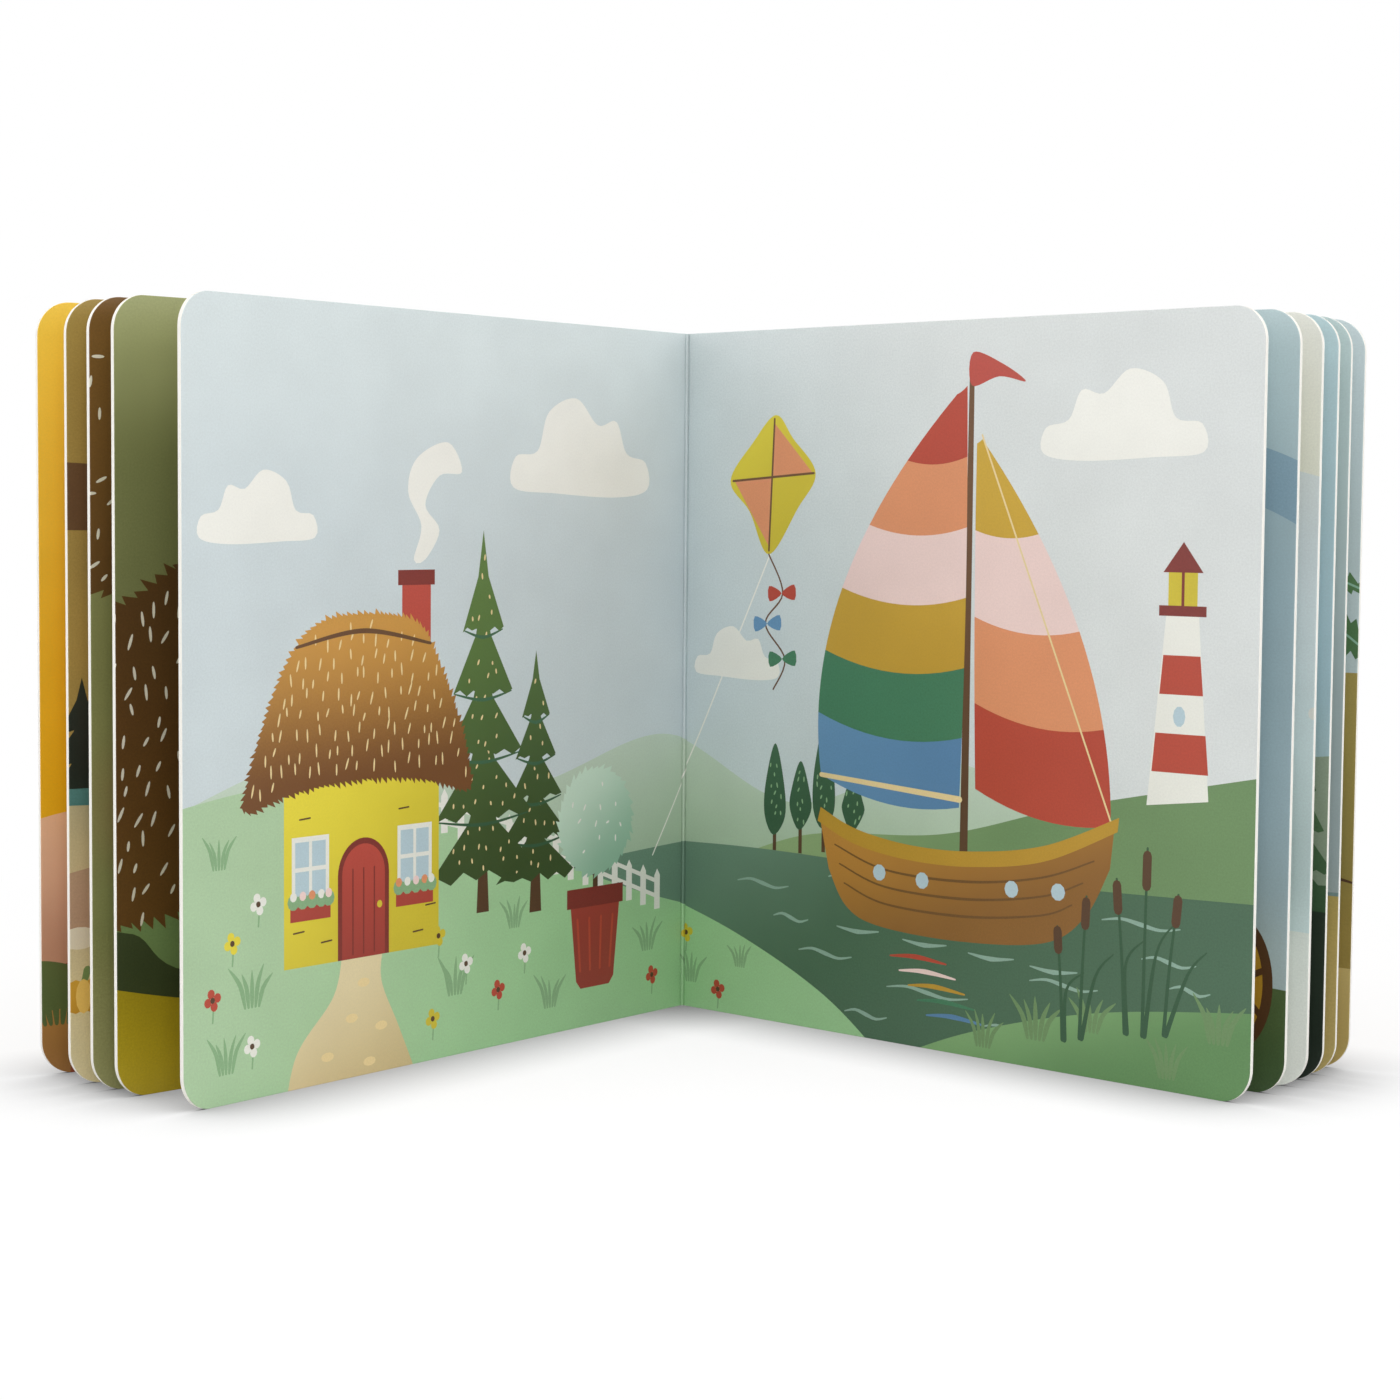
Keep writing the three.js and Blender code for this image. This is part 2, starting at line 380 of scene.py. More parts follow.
# --- The inks -------------------------------------------------------------------------------------
# Offset inks on the card, under a satin film that is laminated over them. Flat colours are printed with
# a sprayed look: a soft change of tone with grains in it, 0.5 mm wide, which show most in dark inks. In a few
# inks the change of tone is partly painted light and painted shade, as noted where they are made. Each
# field is also a little uneven over about 20 mm, and the film's gloss with it.
def ink(name, tone, second=None, start=(0, PAGE), end=(0, 0), grain=0.35):
    """An ink that shades from `tone` at the point `start` of the spread to `second` at `end`."""
    material, tree, shader = surface(name)
    where = node(tree, "ShaderNodeAttribute", {"attribute_name": "print"}).outputs["Vector"]
    spray = node(tree, "ShaderNodeTexNoise", {"Scale": 2.0, "Detail": 2.0, "Roughness": 0.7}, Vector=where)
    cloudy = node(tree, "ShaderNodeTexNoise", {"Scale": 0.05, "Detail": 3.0}, Vector=where)
    run = Vector((end[0] - start[0], end[1] - start[1], 0))
    step = run / run.length_squared
    begin = Vector((*start, 0)).dot(step) + grain / 2
    along = node(tree, "ShaderNodeVectorMath", {"operation": "DOT_PRODUCT", 1: step}, i0=where)
    share = node(tree, "ShaderNodeMath", {"operation": "SUBTRACT", 1: begin}, i0=along.outputs["Value"])
    grains = node(tree, "ShaderNodeMath", {"operation": "MULTIPLY_ADD", 1: grain},
                  i0=spray.outputs["Fac"], i2=share.outputs[0])
    eased = node(tree, "ShaderNodeMapRange", {"interpolation_type": "SMOOTHSTEP"}, Value=grains.outputs[0])
    mixed = node(tree, "ShaderNodeMix", {"data_type": "RGBA", 6: srgb(tone), 7: srgb(second or tone)},
                 i0=eased.outputs["Result"])
    patchy = node(tree, "ShaderNodeMapRange",
                  {"From Min": 0.3, "From Max": 0.7, "To Min": 0.97, "To Max": 1.03},
                  Value=cloudy.outputs["Fac"])
    fleck = 0.19 - 0.16 * max(srgb(tone)[:3]) ** 0.4  # how strong the grains are, from the ink's lightness
    flecks = node(tree, "ShaderNodeMapRange",
                  {"From Min": 0.3, "From Max": 0.7, "To Min": 1 - fleck, "To Max": 1 + fleck},
                  Value=spray.outputs["Fac"])
    level = node(tree, "ShaderNodeMath", {"operation": "MULTIPLY"},
                 i0=patchy.outputs["Result"], i1=flecks.outputs["Result"])
    shown = node(tree, "ShaderNodeHueSaturation", {}, Color=mixed.outputs[2], Value=level.outputs[0])
    sheen = node(tree, "ShaderNodeMapRange", {"To Min": 0.38, "To Max": 0.5}, Value=cloudy.outputs["Fac"])
    film = node(tree, "ShaderNodeBump", {"Strength": 0.15, "Distance": 0.02 * MM},
                Height=spray.outputs["Fac"])
    tree.links.new(shown.outputs["Color"], shader.inputs["Base Color"])
    tree.links.new(sheen.outputs["Result"], shader.inputs["Roughness"])
    tree.links.new(film.outputs["Normal"], shader.inputs["Normal"])
    return material


# --- Drawing --------------------------------------------------------------------------------------
# Every picture is cut out of flat fields of ink, the way paper is cut: outlines in millimetres, x from
# the fold and y up from the bottom edge, each laid over the ones before it.
FAR = 190  # past every edge of a page, where fields run off it


def box(x0, y0, x1, y1):
    return [(x0, y0), (x1, y0), (x1, y1), (x0, y1)]


WHOLE_SPREAD = box(-FAR, -9, FAR, 189)


def tower(x, low, half_low, high, half_high):
    return [(x - half_low, low), (x + half_low, low), (x + half_high, high), (x - half_high, high)]


def bent(points, closed=False, pitch=1.5):
    """A smooth line through the points."""
    count = len(points)
    ends = points if closed else [points[0], *points, points[-1]]
    shift = 0 if closed else 1
    line = []
    for i in range(count if closed else count - 1):
        a, b, c, d = [Vector(ends[(i + shift + k) % len(ends)]) for k in (-1, 0, 1, 2)]
        steps = max(2, math.ceil((c - b).length / pitch))
        for step in range(steps):
            t = step / steps
            cubic = 1.5 * (b - c) + (d - a) / 2
            point = b + t * ((c - a) / 2 + t * (a - 2.5 * b + 2 * c - d / 2 + t * cubic))
            line.append(tuple(point))
    return line if closed else line + [tuple(points[-1])]


def blob(*points):
    return bent(list(points), closed=True)


def disc(x, y, across, up=None, turn=0):
    """A disc or an ellipse, given by its radii."""
    up = up or across
    count = max(10, round(3 * max(across, up)))
    lean = math.radians(turn)
    rim = [(across * math.cos(k / count * math.tau), up * math.sin(k / count * math.tau))
           for k in range(count)]
    return [(x + a * math.cos(lean) - b * math.sin(lean), y + a * math.sin(lean) + b * math.cos(lean))
            for a, b in rim]


def ground(*points):
    """A field under a smooth skyline that runs from left to right."""
    return bent(list(points), pitch=3) + [(points[-1][0], -9), (points[0][0], -9)]


def brush(points, *widths):
    """A brush stroke along a smooth line, with round ends. It goes evenly through the given widths."""
    line = [Vector(point) for point in bent(list(points))]
    left = []
    right = []
    for i, point in enumerate(line):
        ahead = (line[min(i + 1, len(line) - 1)] - line[max(i - 1, 0)]).normalized()
        place = i / (len(line) - 1) * (len(widths) - 1)
        low = min(int(place), len(widths) - 2) if len(widths) > 1 else 0
        width = widths[low] + (widths[min(low + 1, len(widths) - 1)] - widths[low]) * (place - low)
        side = Vector((-ahead.y, ahead.x)) * width / 2
        left.append(point + side)
        right.append(point - side)
        if i in (0, len(line) - 1):
            end = ahead * width / (2 if i else -2)
            rounded = [point + end * 0.7 + side * 0.7, point + end, point + end * 0.7 - side * 0.7]
            left = left + rounded if i else rounded[::-1] + left
    return [tuple(p) for p in left + right[::-1]]


def frayed(outline, pitch, depth, seed):
    """An outline whose edge is cut into leaves or tufts, `pitch` wide and up to `depth` long."""
    dice = random.Random(seed)
    around = [Vector(point) for point in outline]
    turning = 1 if signed_area(outline) > 0 else -1
    edge = []
    walked = 0
    for a, b in zip(around, around[1:] + around[:1]):
        length = (b - a).length
        while walked < length:
            point = a.lerp(b, walked / length)
            out = Vector((b.y - a.y, a.x - b.x)) / length * turning
            lean = (b - a) / length * dice.uniform(-0.35, 0.35)
            edge += [tuple(point), tuple(point + (out + lean) * depth * dice.uniform(0.35, 1))]
            walked += pitch * dice.uniform(0.8, 1.2)
        walked -= length
    return edge


def holds(outline, point):
    """Whether the outline goes round the point."""
    x, y = point
    crossings = 0
    for (x0, y0), (x1, y1) in zip(outline, outline[1:] + outline[:1]):
        if (y0 > y) != (y1 > y) and x < x0 + (y - y0) / (y1 - y0) * (x1 - x0):
            crossings += 1
    return crossings % 2 == 1


def dashes(outline, pitch, length, width, lean, seed, spread=25):
    """Short strokes scattered inside an outline, leaning `lean` degrees, give or take `spread`."""
    dice = random.Random(seed)
    xs, ys = zip(*outline)
    found = []
    for row in range(int((max(ys) - min(ys)) / pitch) + 1):
        for column in range(int((max(xs) - min(xs)) / pitch) + 2):
            x = min(xs) + pitch * (column + 0.5 * (row % 2) + dice.uniform(-0.3, 0.3))
            y = min(ys) + pitch * (row + dice.uniform(-0.3, 0.3))
            angle = math.radians(lean + dice.uniform(-spread, spread))
            half = length * dice.uniform(0.6, 1) / 2
            reach = Vector((math.cos(angle), math.sin(angle))) * (half + width)
            if holds(outline, (x + reach.x, y + reach.y)) and holds(outline, (x - reach.x, y - reach.y)):
                found.append(disc(x, y, half, width / 2, math.degrees(angle)))
    return found


def tuft(x, y, height, blades, seed):
    """A tuft of grass: pointed blades that fan out from one spot."""
    dice = random.Random(seed)
    cut = []
    for k in range(blades):
        lean = k - (blades - 1) / 2
        foot = x + lean * height * 0.12
        tip = foot + lean * height * 0.26 + dice.uniform(-0.6, 0.6)
        tall = height * dice.uniform(0.65, 1)
        blade = [(foot, y - 1), (foot + (tip - foot) * 0.3, y + tall * 0.5), (tip, y + tall)]
        cut.append(brush(blade, height * 0.08, height * 0.15, height * 0.12, 0.2))
    return cut


def lay(art, tint, *outlines):
    art.extend((tint, outline) for outline in outlines)


def cloud(x, y, size, way=1):
    """A cloud with a flat foot and three humps, mirrored where `way` is -1."""
    shape = [(-1, 0.02), (-0.97, 0.3), (-0.66, 0.36), (-0.5, 0.72), (-0.1, 0.86), (0.22, 0.62), (0.5, 0.66),
             (0.66, 0.36), (0.95, 0.28), (0.98, 0.02), (0.5, -0.06), (-0.4, -0.03)]
    return blob(*[(x + way * size * a, y + size * b) for a, b in shape])


def tree_tiers(x, foot, height, width, tiers, seed):
    """The boughs of a conifer, from the lowest tier to the tip."""
    dice = random.Random(seed)
    cut = []
    for tier in range(tiers):
        low = foot + height * tier / (tiers + 0.6)
        high = min(foot + height, low + height * 1.75 / (tiers + 0.6))
        half = width / 2 * (1 - 0.8 * tier / tiers)
        tooth = min(half, high - low) * 0.1
        hem = [(x - half + 2 * half * k / 9, low + tooth * (k % 2 + dice.uniform(-0.5, 0.2)))
               for k in range(10)]
        cut.append(hem + [(x + half * 0.25, (low + high) / 2 + 1), (x, high),
                          (x - half * 0.25, (low + high) / 2 + 1)])
    return cut


BORNE = 80  # degrees of the bead that a swinging page bears, so that no gap opens as it moves


def spread(number, art, left_body="root", right_body="root"):
    """Folds the printed sheet of a spread in the middle and glues its two pages in place."""
    before, after = leaves[number - 1], leaves[number]
    opening = (after.turn - before.turn) / 2
    for side, leaf, fold, body in ((-1, before, before.fold_after, left_body),
                                   (1, after, after.fold_before, right_body)):
        past = 0 if body == "root" else BORNE
        page = Page(side, fold_section(opening + past), -BEAD * math.radians(past))
        flat, inks = page.print_face(art)
        page.close(flat)
        name = f"page_{2 * number + (side > 0) - 1:02d}"
        made = page.build(name, fold, leaf.along, -side * leaf.across, [board] + inks)
        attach(made, body)
        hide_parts("pages" if body == "root" else body)


# --- The first spread: dunes at sunset ------------------------------------------------------------
# Its left page is glued inside the front cover and swings with it. An amber sky stands over pink dunes,
# with cacti and a mud-walled house.
amber = ink("amber_sky_ink", "#f4cf4b", "#efba18", (0, 180), (0, 58))
low_sun = ink("low_sun_ink", "#fbe39b", "#f0c868", (0, 130), (0, 70))
pink_dune = ink("pink_dune_ink", "#f0c6a4", "#d09c7b", (0, 66), (0, 20))
clay = ink("clay_red_ink", "#c56d4a", "#a05234", (0, 90), (0, 20))
cactus = ink("cactus_green_ink", "#84985a", "#5d703c", (0, 80), (0, 14))
desert_floor = ink("desert_floor_ink", "#c2924a", "#a3743a", (0, 26), (0, 0))
bone = ink("bone_white_ink", "#f3ecd8", "#e9dfc4", (0, 100), (0, 0))
dusk = ink("dusk_brown_ink", "#735438", "#5a3d24", (0, 150), (0, 20))

art = [(amber, WHOLE_SPREAD)]
lay(art, low_sun, disc(52, 104, 33))
lay(art, bone, disc(52, 104, 24))
lay(art, amber,
    *[brush([(x - 16, y), (x, y + 1.4), (x + 18, y)], 0.6, 3, 0.6)
      for x, y in ((34, 96), (76, 88), (58, 116))])
lay(art, bone, cloud(-96, 138, 24), cloud(-150, 112, 13, -1), cloud(136, 148, 18))
lay(art, pink_dune,
    ground((-190, 58), (-160, 62), (-104, 48), (-44, 62), (16, 46), (84, 64), (146, 50), (190, 60)))
lay(art, clay, ground((-190, 22), (-140, 34), (-80, 44), (-40, 36), (10, 22), (70, 30), (130, 44), (190, 34)))
lay(art, pink_dune, ground((-190, 12), (-120, 30), (-60, 22), (0, 30), (60, 20), (120, 30), (190, 24)))
for x, foot, tall in ((-148, 22, 52), (-70, 24, 74), (150, 22, 60)):
    lay(art, cactus, brush([(x, foot), (x, foot + tall * 0.5), (x, foot + tall)], 9, 9, 7.6),
        brush([(x, foot + tall * 0.38), (x - 12, foot + tall * 0.4),
               (x - 13.4, foot + tall * 0.7)], 5, 5.6, 4.6),
        brush([(x, foot + tall * 0.5), (x + 12, foot + tall * 0.54),
               (x + 13, foot + tall * 0.86)], 5, 5.6, 4.6))
    lay(art, bone, *dashes(disc(x, foot + tall * 0.5, 3.8, tall * 0.46), 4.4, 1.6, 0.5, 80, int(x)))
    lay(art, clay, disc(x, foot + tall + 3.4, 2.6), disc(x - 13.4, foot + tall * 0.74, 2))
lay(art, bone, box(70, 26, 124, 62), box(96, 26, 138, 50))
lay(art, clay, box(84, 26, 96, 46), box(104, 36, 111, 44), box(120, 32, 127, 42), box(70, 60, 124, 63),
    box(96, 48, 138, 51))
lay(art, dusk, *[box(x, 55, x + 5, 56.6) for x in range(68, 120, 9)], box(85.4, 26, 94.6, 44.6))
lay(art, cactus, blob((-194, 12), (-192, 24), (-180, 27), (-166, 22), (-160, 12), (-170, 6)))
lay(art, desert_floor, ground((-190, 14), (-110, 20), (-30, 12), (40, 18), (110, 12), (190, 18)))
for seed, (x, y) in enumerate(((-176, 13), (-132, 12), (-96, 14), (-30, 8), (24, 10), (64, 8), (116, 6),
                               (170, 12))):
    lay(art, cactus, *tuft(x, y, 12, 6, seed))
lay(art, clay, blob((-172, -3), (-170, 8), (-160, 11), (-151, 6), (-150, -3)),
    blob((84, -3), (88, 6), (98, 7), (104, -3)))
lay(art, bone, *dashes(box(-190, 0, 190, 10), 13, 4, 0.6, 0, 4, 8))
spread(1, art, left_body="front_cover")


# --- The second spread: a river with pines --------------------------------------------------------
# A sheet of the same card, glued to the spreads before and after it. A dusty evening sky and a dark row
# of pines stand behind the river, and pumpkins ripen on its near bank.
dust = ink("dusty_tan_ink", "#b2974f", "#ba9c53", (0, 180), (0, 90))
night_pine = ink("night_pine_ink", "#30382e", "#2b3227", (0, 96), (0, 66))
river = ink("river_teal_ink", "#5f9189", "#4a7a73", (0, 68), (0, 60))
# Painted light: the bank's ink is lighter toward the page's foot, making up for the little light that reaches
# low between the leaves.
loam = ink("beige_bank_ink", "#d3c193", "#e2d6ab", (0, 62), (0, 0))
rosy = ink("rosy_grey_ink", "#bf9d80")
pumpkin = ink("pumpkin_ink", "#dba93a", "#c08b25", (0, 26), (0, 10))
leaf_green = ink("leaf_green_ink", "#7d985c", "#627e48", (0, 40), (0, 0))

art = [(dust, WHOLE_SPREAD)]
lay(art, dusk,
    blob((-196, 129), (-150, 128), (-118, 131), (-104, 136), (-128, 141), (-160, 142), (-196, 142)),
    blob((20, 150), (60, 147), (96, 152), (60, 157)),
    blob((120, 118), (160, 115), (196, 118), (196, 124), (150, 123)))
lay(art, bone, disc(-40, 140, 15))
lay(art, dust, disc(-34, 144, 13))
lay(art, clay,
    ground((-190, 62), (-160, 74), (-120, 98), (-96, 82), (-40, 88), (0, 104), (30, 106), (60, 86),
           (130, 92), (190, 84)))
for k, x in enumerate(range(-186, 192, 13)):
    lay(art, night_pine, *tree_tiers(x, 64, 24 + 9 * math.sin(k * 2.3), 16, 3, k))
lay(art, night_pine, box(-FAR, 60, FAR, 70), *tree_tiers(-177, 66, 28, 24, 3, 99))
lay(art, river, box(-FAR, 52, FAR, 68.5))
lay(art, bone, *dashes(box(-190, 60, 190, 67), 9, 8, 0.5, 0, 8, 4))
lay(art, loam, ground((-190, 65), (-160, 64), (-120, 62), (-60, 56), (0, 60), (80, 54), (140, 60), (190, 58)))
lay(art, rosy, bent([(-196, 46), (-150, 52), (-80, 40), (0, 46), (90, 38), (196, 44)])
    + [(196, 34), (-196, 36)])
lay(art, bone,
    *[disc(x, y, 5, 2.6)
      for x, y in ((-178, 34), (-150, 30), (-96, 30), (-20, 34), (40, 28), (128, 33), (166, 27))])
for x, y, size in ((-177, 20.5, 4.8), (-158, 14, 9), (-128, 17, 11), (-70, 14, 9), (-44, 18, 11),
                   (30, 16, 12), (58, 12, 8), (120, 17, 11), (150, 14, 8)):
    lay(art, leaf_green, brush([(x, y + size * 0.6), (x + 1, y + size * 1.25)], 1.4, 2))
    lay(art, pumpkin, disc(x - size * 0.42, y, size * 0.6, size * 0.82),
        disc(x + size * 0.42, y, size * 0.6, size * 0.82))
    lay(art, low_sun, disc(x, y, size * 0.42, size * 0.84))
    lay(art, leaf_green,
        brush([(x + size, y - size * 0.6), (x + size * 1.5, y + 1), (x + size * 2, y - size * 0.4)], 0.8))
spread(2, art)


# --- The third spread: a swing under an autumn tree -----------------------------------------------
# A sheet of the same card. A russet crown hangs over an olive meadow, with a swing on its bough, leaves
# in the air and a wheelbarrow on the grass.
olive_air = ink("olive_air_ink", "#a9b37f", "#92935b", (0, 180), (0, 100))
crown = ink("russet_crown_ink", "#805a28", "#654522", (-130, 176), (-110, 112))
# Painted light: the hill's ink is lighter toward the page's foot, making up for the little light that reaches
# low between the leaves.
olive_hill = ink("olive_hill_ink", "#8f9056", "#a2a16c", (0, 50), (0, 0))

art = [(olive_air, WHOLE_SPREAD)]
lay(art, bone, cloud(20, 148, 20, -1), cloud(132, 134, 26))
lay(art, leaf_green, ground((-190, 24), (-160, 30), (-120, 56), (-40, 50), (40, 70), (120, 54), (190, 64)))
lay(art, olive_hill, ground((-190, 34), (-110, 44), (-30, 34), (60, 40), (130, 26), (190, 32)))
lay(art, dusk, bent([(-140, 22), (-130, 40), (-128, 80), (-140, 126)])
    + bent([(-104, 126), (-112, 80), (-108, 40), (-96, 22)]))
lay(art, dusk, brush([(-122, 90), (-90, 112), (-60, 122)], 8, 6, 4),
    brush([(-126, 84), (-150, 104), (-168, 122)], 7, 5, 4))
leaves_of_tree = frayed(blob((-196, 128), (-176, 114), (-140, 118), (-104, 112), (-66, 116), (-44, 132),
                             (-46, 154), (-76, 170), (-120, 177), (-196, 176)), 3.4, 4, 31)
lay(art, crown, leaves_of_tree)
lay(art, bone, *dashes(leaves_of_tree, 6.4, 3.4, 0.8, 60, 9, 60))
lay(art, bone, brush([(-76, 118), (-76, 40)], 0.7), brush([(-56, 120), (-56, 40)], 0.7))
lay(art, clay, box(-79, 37.6, -53, 41))
lay(art, clay, bent([(40, 34), (38, 22), (42, 10)]) + bent([(74, 10), (78, 22), (76, 34)]))
lay(art, dusk, brush([(38, 34), (58, 36), (78, 34)], 2), brush([(44, 35), (58, 60), (72, 35)], 1.8))
lay(art, pumpkin, *[disc(x, y, 5) for x, y in ((46, 37), (55, 40), (64, 38), (71, 37), (90, 12), (101, 9))])
for k, (x, y) in enumerate(((-40, 96), (-20, 70), (-90, 60), (-150, 60), (-34, 46), (10, 110), (30, 84),
                            (-160, 24), (-120, 12), (-60, 14), (-20, 18), (118, 16), (150, 22), (96, 96),
                            (150, 84), (20, 16))):
    angle = k * 1.3
    lay(art, (pumpkin, clay, low_sun)[k % 3],
        blob((x - 5 * math.cos(angle), y - 5 * math.sin(angle)),
             (x - 2.4 * math.sin(angle), y + 2.4 * math.cos(angle)),
             (x + 5 * math.cos(angle), y + 5 * math.sin(angle)),
             (x + 2.4 * math.sin(angle), y - 2.4 * math.cos(angle))))
for x, tall in ((112, 34), (146, 44), (170, 30)):
    lay(art, dusk, brush([(x, 28), (x, 28 + tall)], 3, 2))
    lay(art, clay, frayed(disc(x, 34 + tall, tall * 0.36, tall * 0.42), 2.8, 2.4, int(x)))
    lay(art, bone, *dashes(disc(x, 34 + tall, tall * 0.3, tall * 0.36), 5, 2.4, 0.6, 50, int(x), 50))
spread(3, art)


# --- The fourth spread: a round thatched house ----------------------------------------------------
# A sheet of the same card. The dark thatch is cut off by the page's edge, and straw beehives stand in the
# orchard on the right.
olive_sky = ink("olive_sky_ink", "#a9ad78", "#828654", (0, 178), (0, 142))
# Painted light: the thatch's ink is lighter toward its foot, making up for the little light that reaches low
# between the leaves.
dark_thatch = ink("dark_thatch_ink", "#5f401e", "#6c491d", (-130, 126), (-130, 40))
wall = ink("lime_wash_ink", "#dcddbd", "#c6c8a2", (0, 42), (0, 16))
moss = ink("dark_moss_ink", "#45502e", "#3c4827", (0, 44), (0, 20))
# Painted light: the grass ink is lighter toward the page's foot, for the same reason.
mustard_grass = ink("mustard_grass_ink", "#b19b1c", "#c0a920", (0, 30), (0, 0))
skep = ink("straw_skep_ink", "#e6be66", "#c4973c", (0, 60), (0, 20))

art = [(olive_sky, WHOLE_SPREAD)]
lay(art, bone, cloud(-60, 150, 17), cloud(60, 140, 24, -1), cloud(150, 158, 14))
lay(art, leaf_green, ground((-190, 40), (-100, 52), (-20, 46), (60, 62), (130, 50), (190, 58)))
lay(art, moss, ground((-190, 38), (-176, 37), (-150, 26), (-40, 36), (30, 44), (100, 34), (190, 42)))
lay(art, wall, box(-160, 16, -76, 48))
lay(art, clay, [(-128, 16), (-108, 16)] + [(-118 + x, 36 + y) for x, y in arc(10, 0, 180, 12)])
lay(art, dusk, disc(-90, 34, 5.4), disc(-146, 34, 5.4))
lay(art, bone, disc(-90, 34, 4), disc(-146, 34, 4), disc(-111, 30, 0.9))
thatch_roof = frayed(blob((-200, 44), (-196, 96), (-172, 114), (-146, 127), (-116, 124), (-84, 106),
                          (-62, 74), (-50, 46), (-80, 40), (-120, 47), (-164, 41)), 3, 3.6, 41)
lay(art, dark_thatch, thatch_roof)
lay(art, bone, *dashes(thatch_roof, 5.6, 4, 0.8, 78, 13, 30))
lay(art, mustard_grass, ground((-190, 27), (-150, 19), (-90, 15), (-20, 21), (60, 26), (130, 18), (190, 24)))
for seed, (x, y) in enumerate(((-134, 7), (-150, 5), (-60, 12), (-30, 8), (10, 12), (150, 10), (172, 12))):
    lay(art, moss, *tuft(x, y, 9, 5, seed + 50))
for x, y in ((34, 22), (62, 20), (90, 23)):
    lay(art, dusk, box(x - 12, y - 4, x + 12, y), box(x - 9, y - 12, x - 7, y - 3),
        box(x + 7, y - 12, x + 9, y - 3))
    for k in range(6):
        lay(art, (skep, pumpkin)[k % 2], disc(x, y + 3 + 4.6 * k, 11.4 - 0.36 * k * k, 2.9))
    lay(art, dusk, disc(x, y + 5, 2.4, 2.8))
for x, tall in ((126, 40), (162, 48)):
    lay(art, dusk, brush([(x, 18), (x, 20 + tall)], 3.4, 2.4))
    lay(art, moss, frayed(disc(x, 26 + tall, 17, 20), 3, 2.2, int(x)))
    lay(art, clay,
        *[disc(x + a, 26 + tall + b, 2)
          for a, b in ((-9, -4), (-3, 8), (6, 0), (9, 10), (-10, 8), (1, -11))])
spread(4, art)


# --- The open spread: a cottage above a lake ------------------------------------------------------
# The sheet between the fifth leaf and the sixth. On its right page the sky has painted shade, darker toward
# the fold, and painted light, lighter and a little warmer toward the page's top corner. A striped sail stands
# over the dark water on the right, and a thatched cottage with its trees on the pale hill on the left.
sky = ink("sky_blue_ink", "#d6e0e1", "#cad5d8", (0, 180), (0, 120))
# Painted light and shade: this sky is darker low by the fold and lighter toward the right page's top corner.
right_sky_painted_light_and_shade = ink("evening_sky_ink", "#c7d4d6", "#d8dcdb", (0, 80), (120, 160))
white = ink("chalk_white_ink", "#f1f0e9", "#e7e7de", (0, 180), (0, 60))
far_ridge = ink("mist_green_ink", "#c0d1bf", "#a9c1a6", (0, 76), (0, 40))
far_hill = ink("meadow_green_ink", "#90ab78", "#6b8c5c", (60, 72), (90, 34))
water = ink("deep_water_ink", "#6a8b76", "#46684f", (0, 46), (30, 0))
ripple = ink("ripple_ink", "#8cab9b")
sage = ink("sage_green_ink", "#abc8a1", "#9ecb96", (-150, 70), (-60, -5))
sage_shade = ink("sage_shade_ink", "#86ac80")
brick = ink("brick_red_ink", "#b8473a", "#97352b", (0, 60), (0, 20))
maroon = ink("maroon_ink", "#7d2b24")
yellow = ink("sun_yellow_ink", "#e6d63c", "#ccb92e", (-140, 74), (-110, 28))
mustard = ink("mustard_ink", "#cba433", "#b98f2a", (0, 160), (0, 40))
orange = ink("orange_ink", "#dd9165")
pink = ink("pale_pink_ink", "#ecd0ca")
red = ink("sail_red_ink", "#b5432f")
green = ink("bottle_green_ink", "#3f7a58")
blue = ink("steel_blue_ink", "#6391b7", "#5480a8", (40, 80), (100, 60))
thatch = ink("thatch_ink", "#c99341", "#70441c", (-124, 108), (-122, 68))
straw = ink("straw_ink", "#e6cf98")
bark = ink("bark_brown_ink", "#6d4a2b", "#53361f", (0, 160), (0, 30))
plank = ink("plank_brown_ink", "#b98233", "#8a5d25", (80, 58), (90, 28))
plank_line = ink("plank_line_ink", "#6e4a20")
pine = ink("pine_green_ink", "#5a7a3a", "#34491f", (-90, 124), (-70, 40))
poplar = ink("poplar_green_ink", "#3c6647", "#2f5539", (0, 82), (0, 52))
mint = ink("mint_ink", "#cbe2cf", "#8fb99f", (-46, 66), (-30, 40))
sand = ink("path_sand_ink", "#e0d0a6", "#cdb988", (-120, 30), (-110, 0))
glass = ink("window_blue_ink", "#b4cad3")
bank = ink("bank_green_ink", "#80a971", "#5f8a55", (120, 20), (130, -5))

art = []
lay(art, sky, box(-FAR, -5, 1, 185))
lay(art, right_sky_painted_light_and_shade, box(0, -5, FAR, 185))
lay(art, white, cloud(-44, 138, 27), cloud(-158, 126, 18, -1), cloud(142, 147, 23, -1), cloud(20, 90, 15))
lay(art, far_ridge,
    ground((-190, 64), (-130, 78), (-70, 64), (-10, 74), (40, 58), (90, 72), (140, 62), (190, 76)))
lay(art, far_hill, ground((10, 38), (45, 50), (90, 54), (130, 64), (190, 76)))

# The lighthouse on the far hill: a whitewashed tower with painted bands.
lay(art, white, [(151, 66), (168, 68), (164.5, 110), (155.5, 110)])
for low, high in ((74, 83), (92, 101)):
    lay(art, red, tower(160, low, 15.2 - 0.1 * low, high, 15.2 - 0.1 * high))
lay(art, maroon, box(153.5, 110, 166.5, 112.4))
lay(art, yellow, box(156, 112.4, 164, 120))
lay(art, maroon, [(154.5, 120), (165.5, 120), (160, 127)], box(159.6, 112.4, 160.4, 120))
lay(art, glass, disc(159.6, 87, 1.7, 2.4))

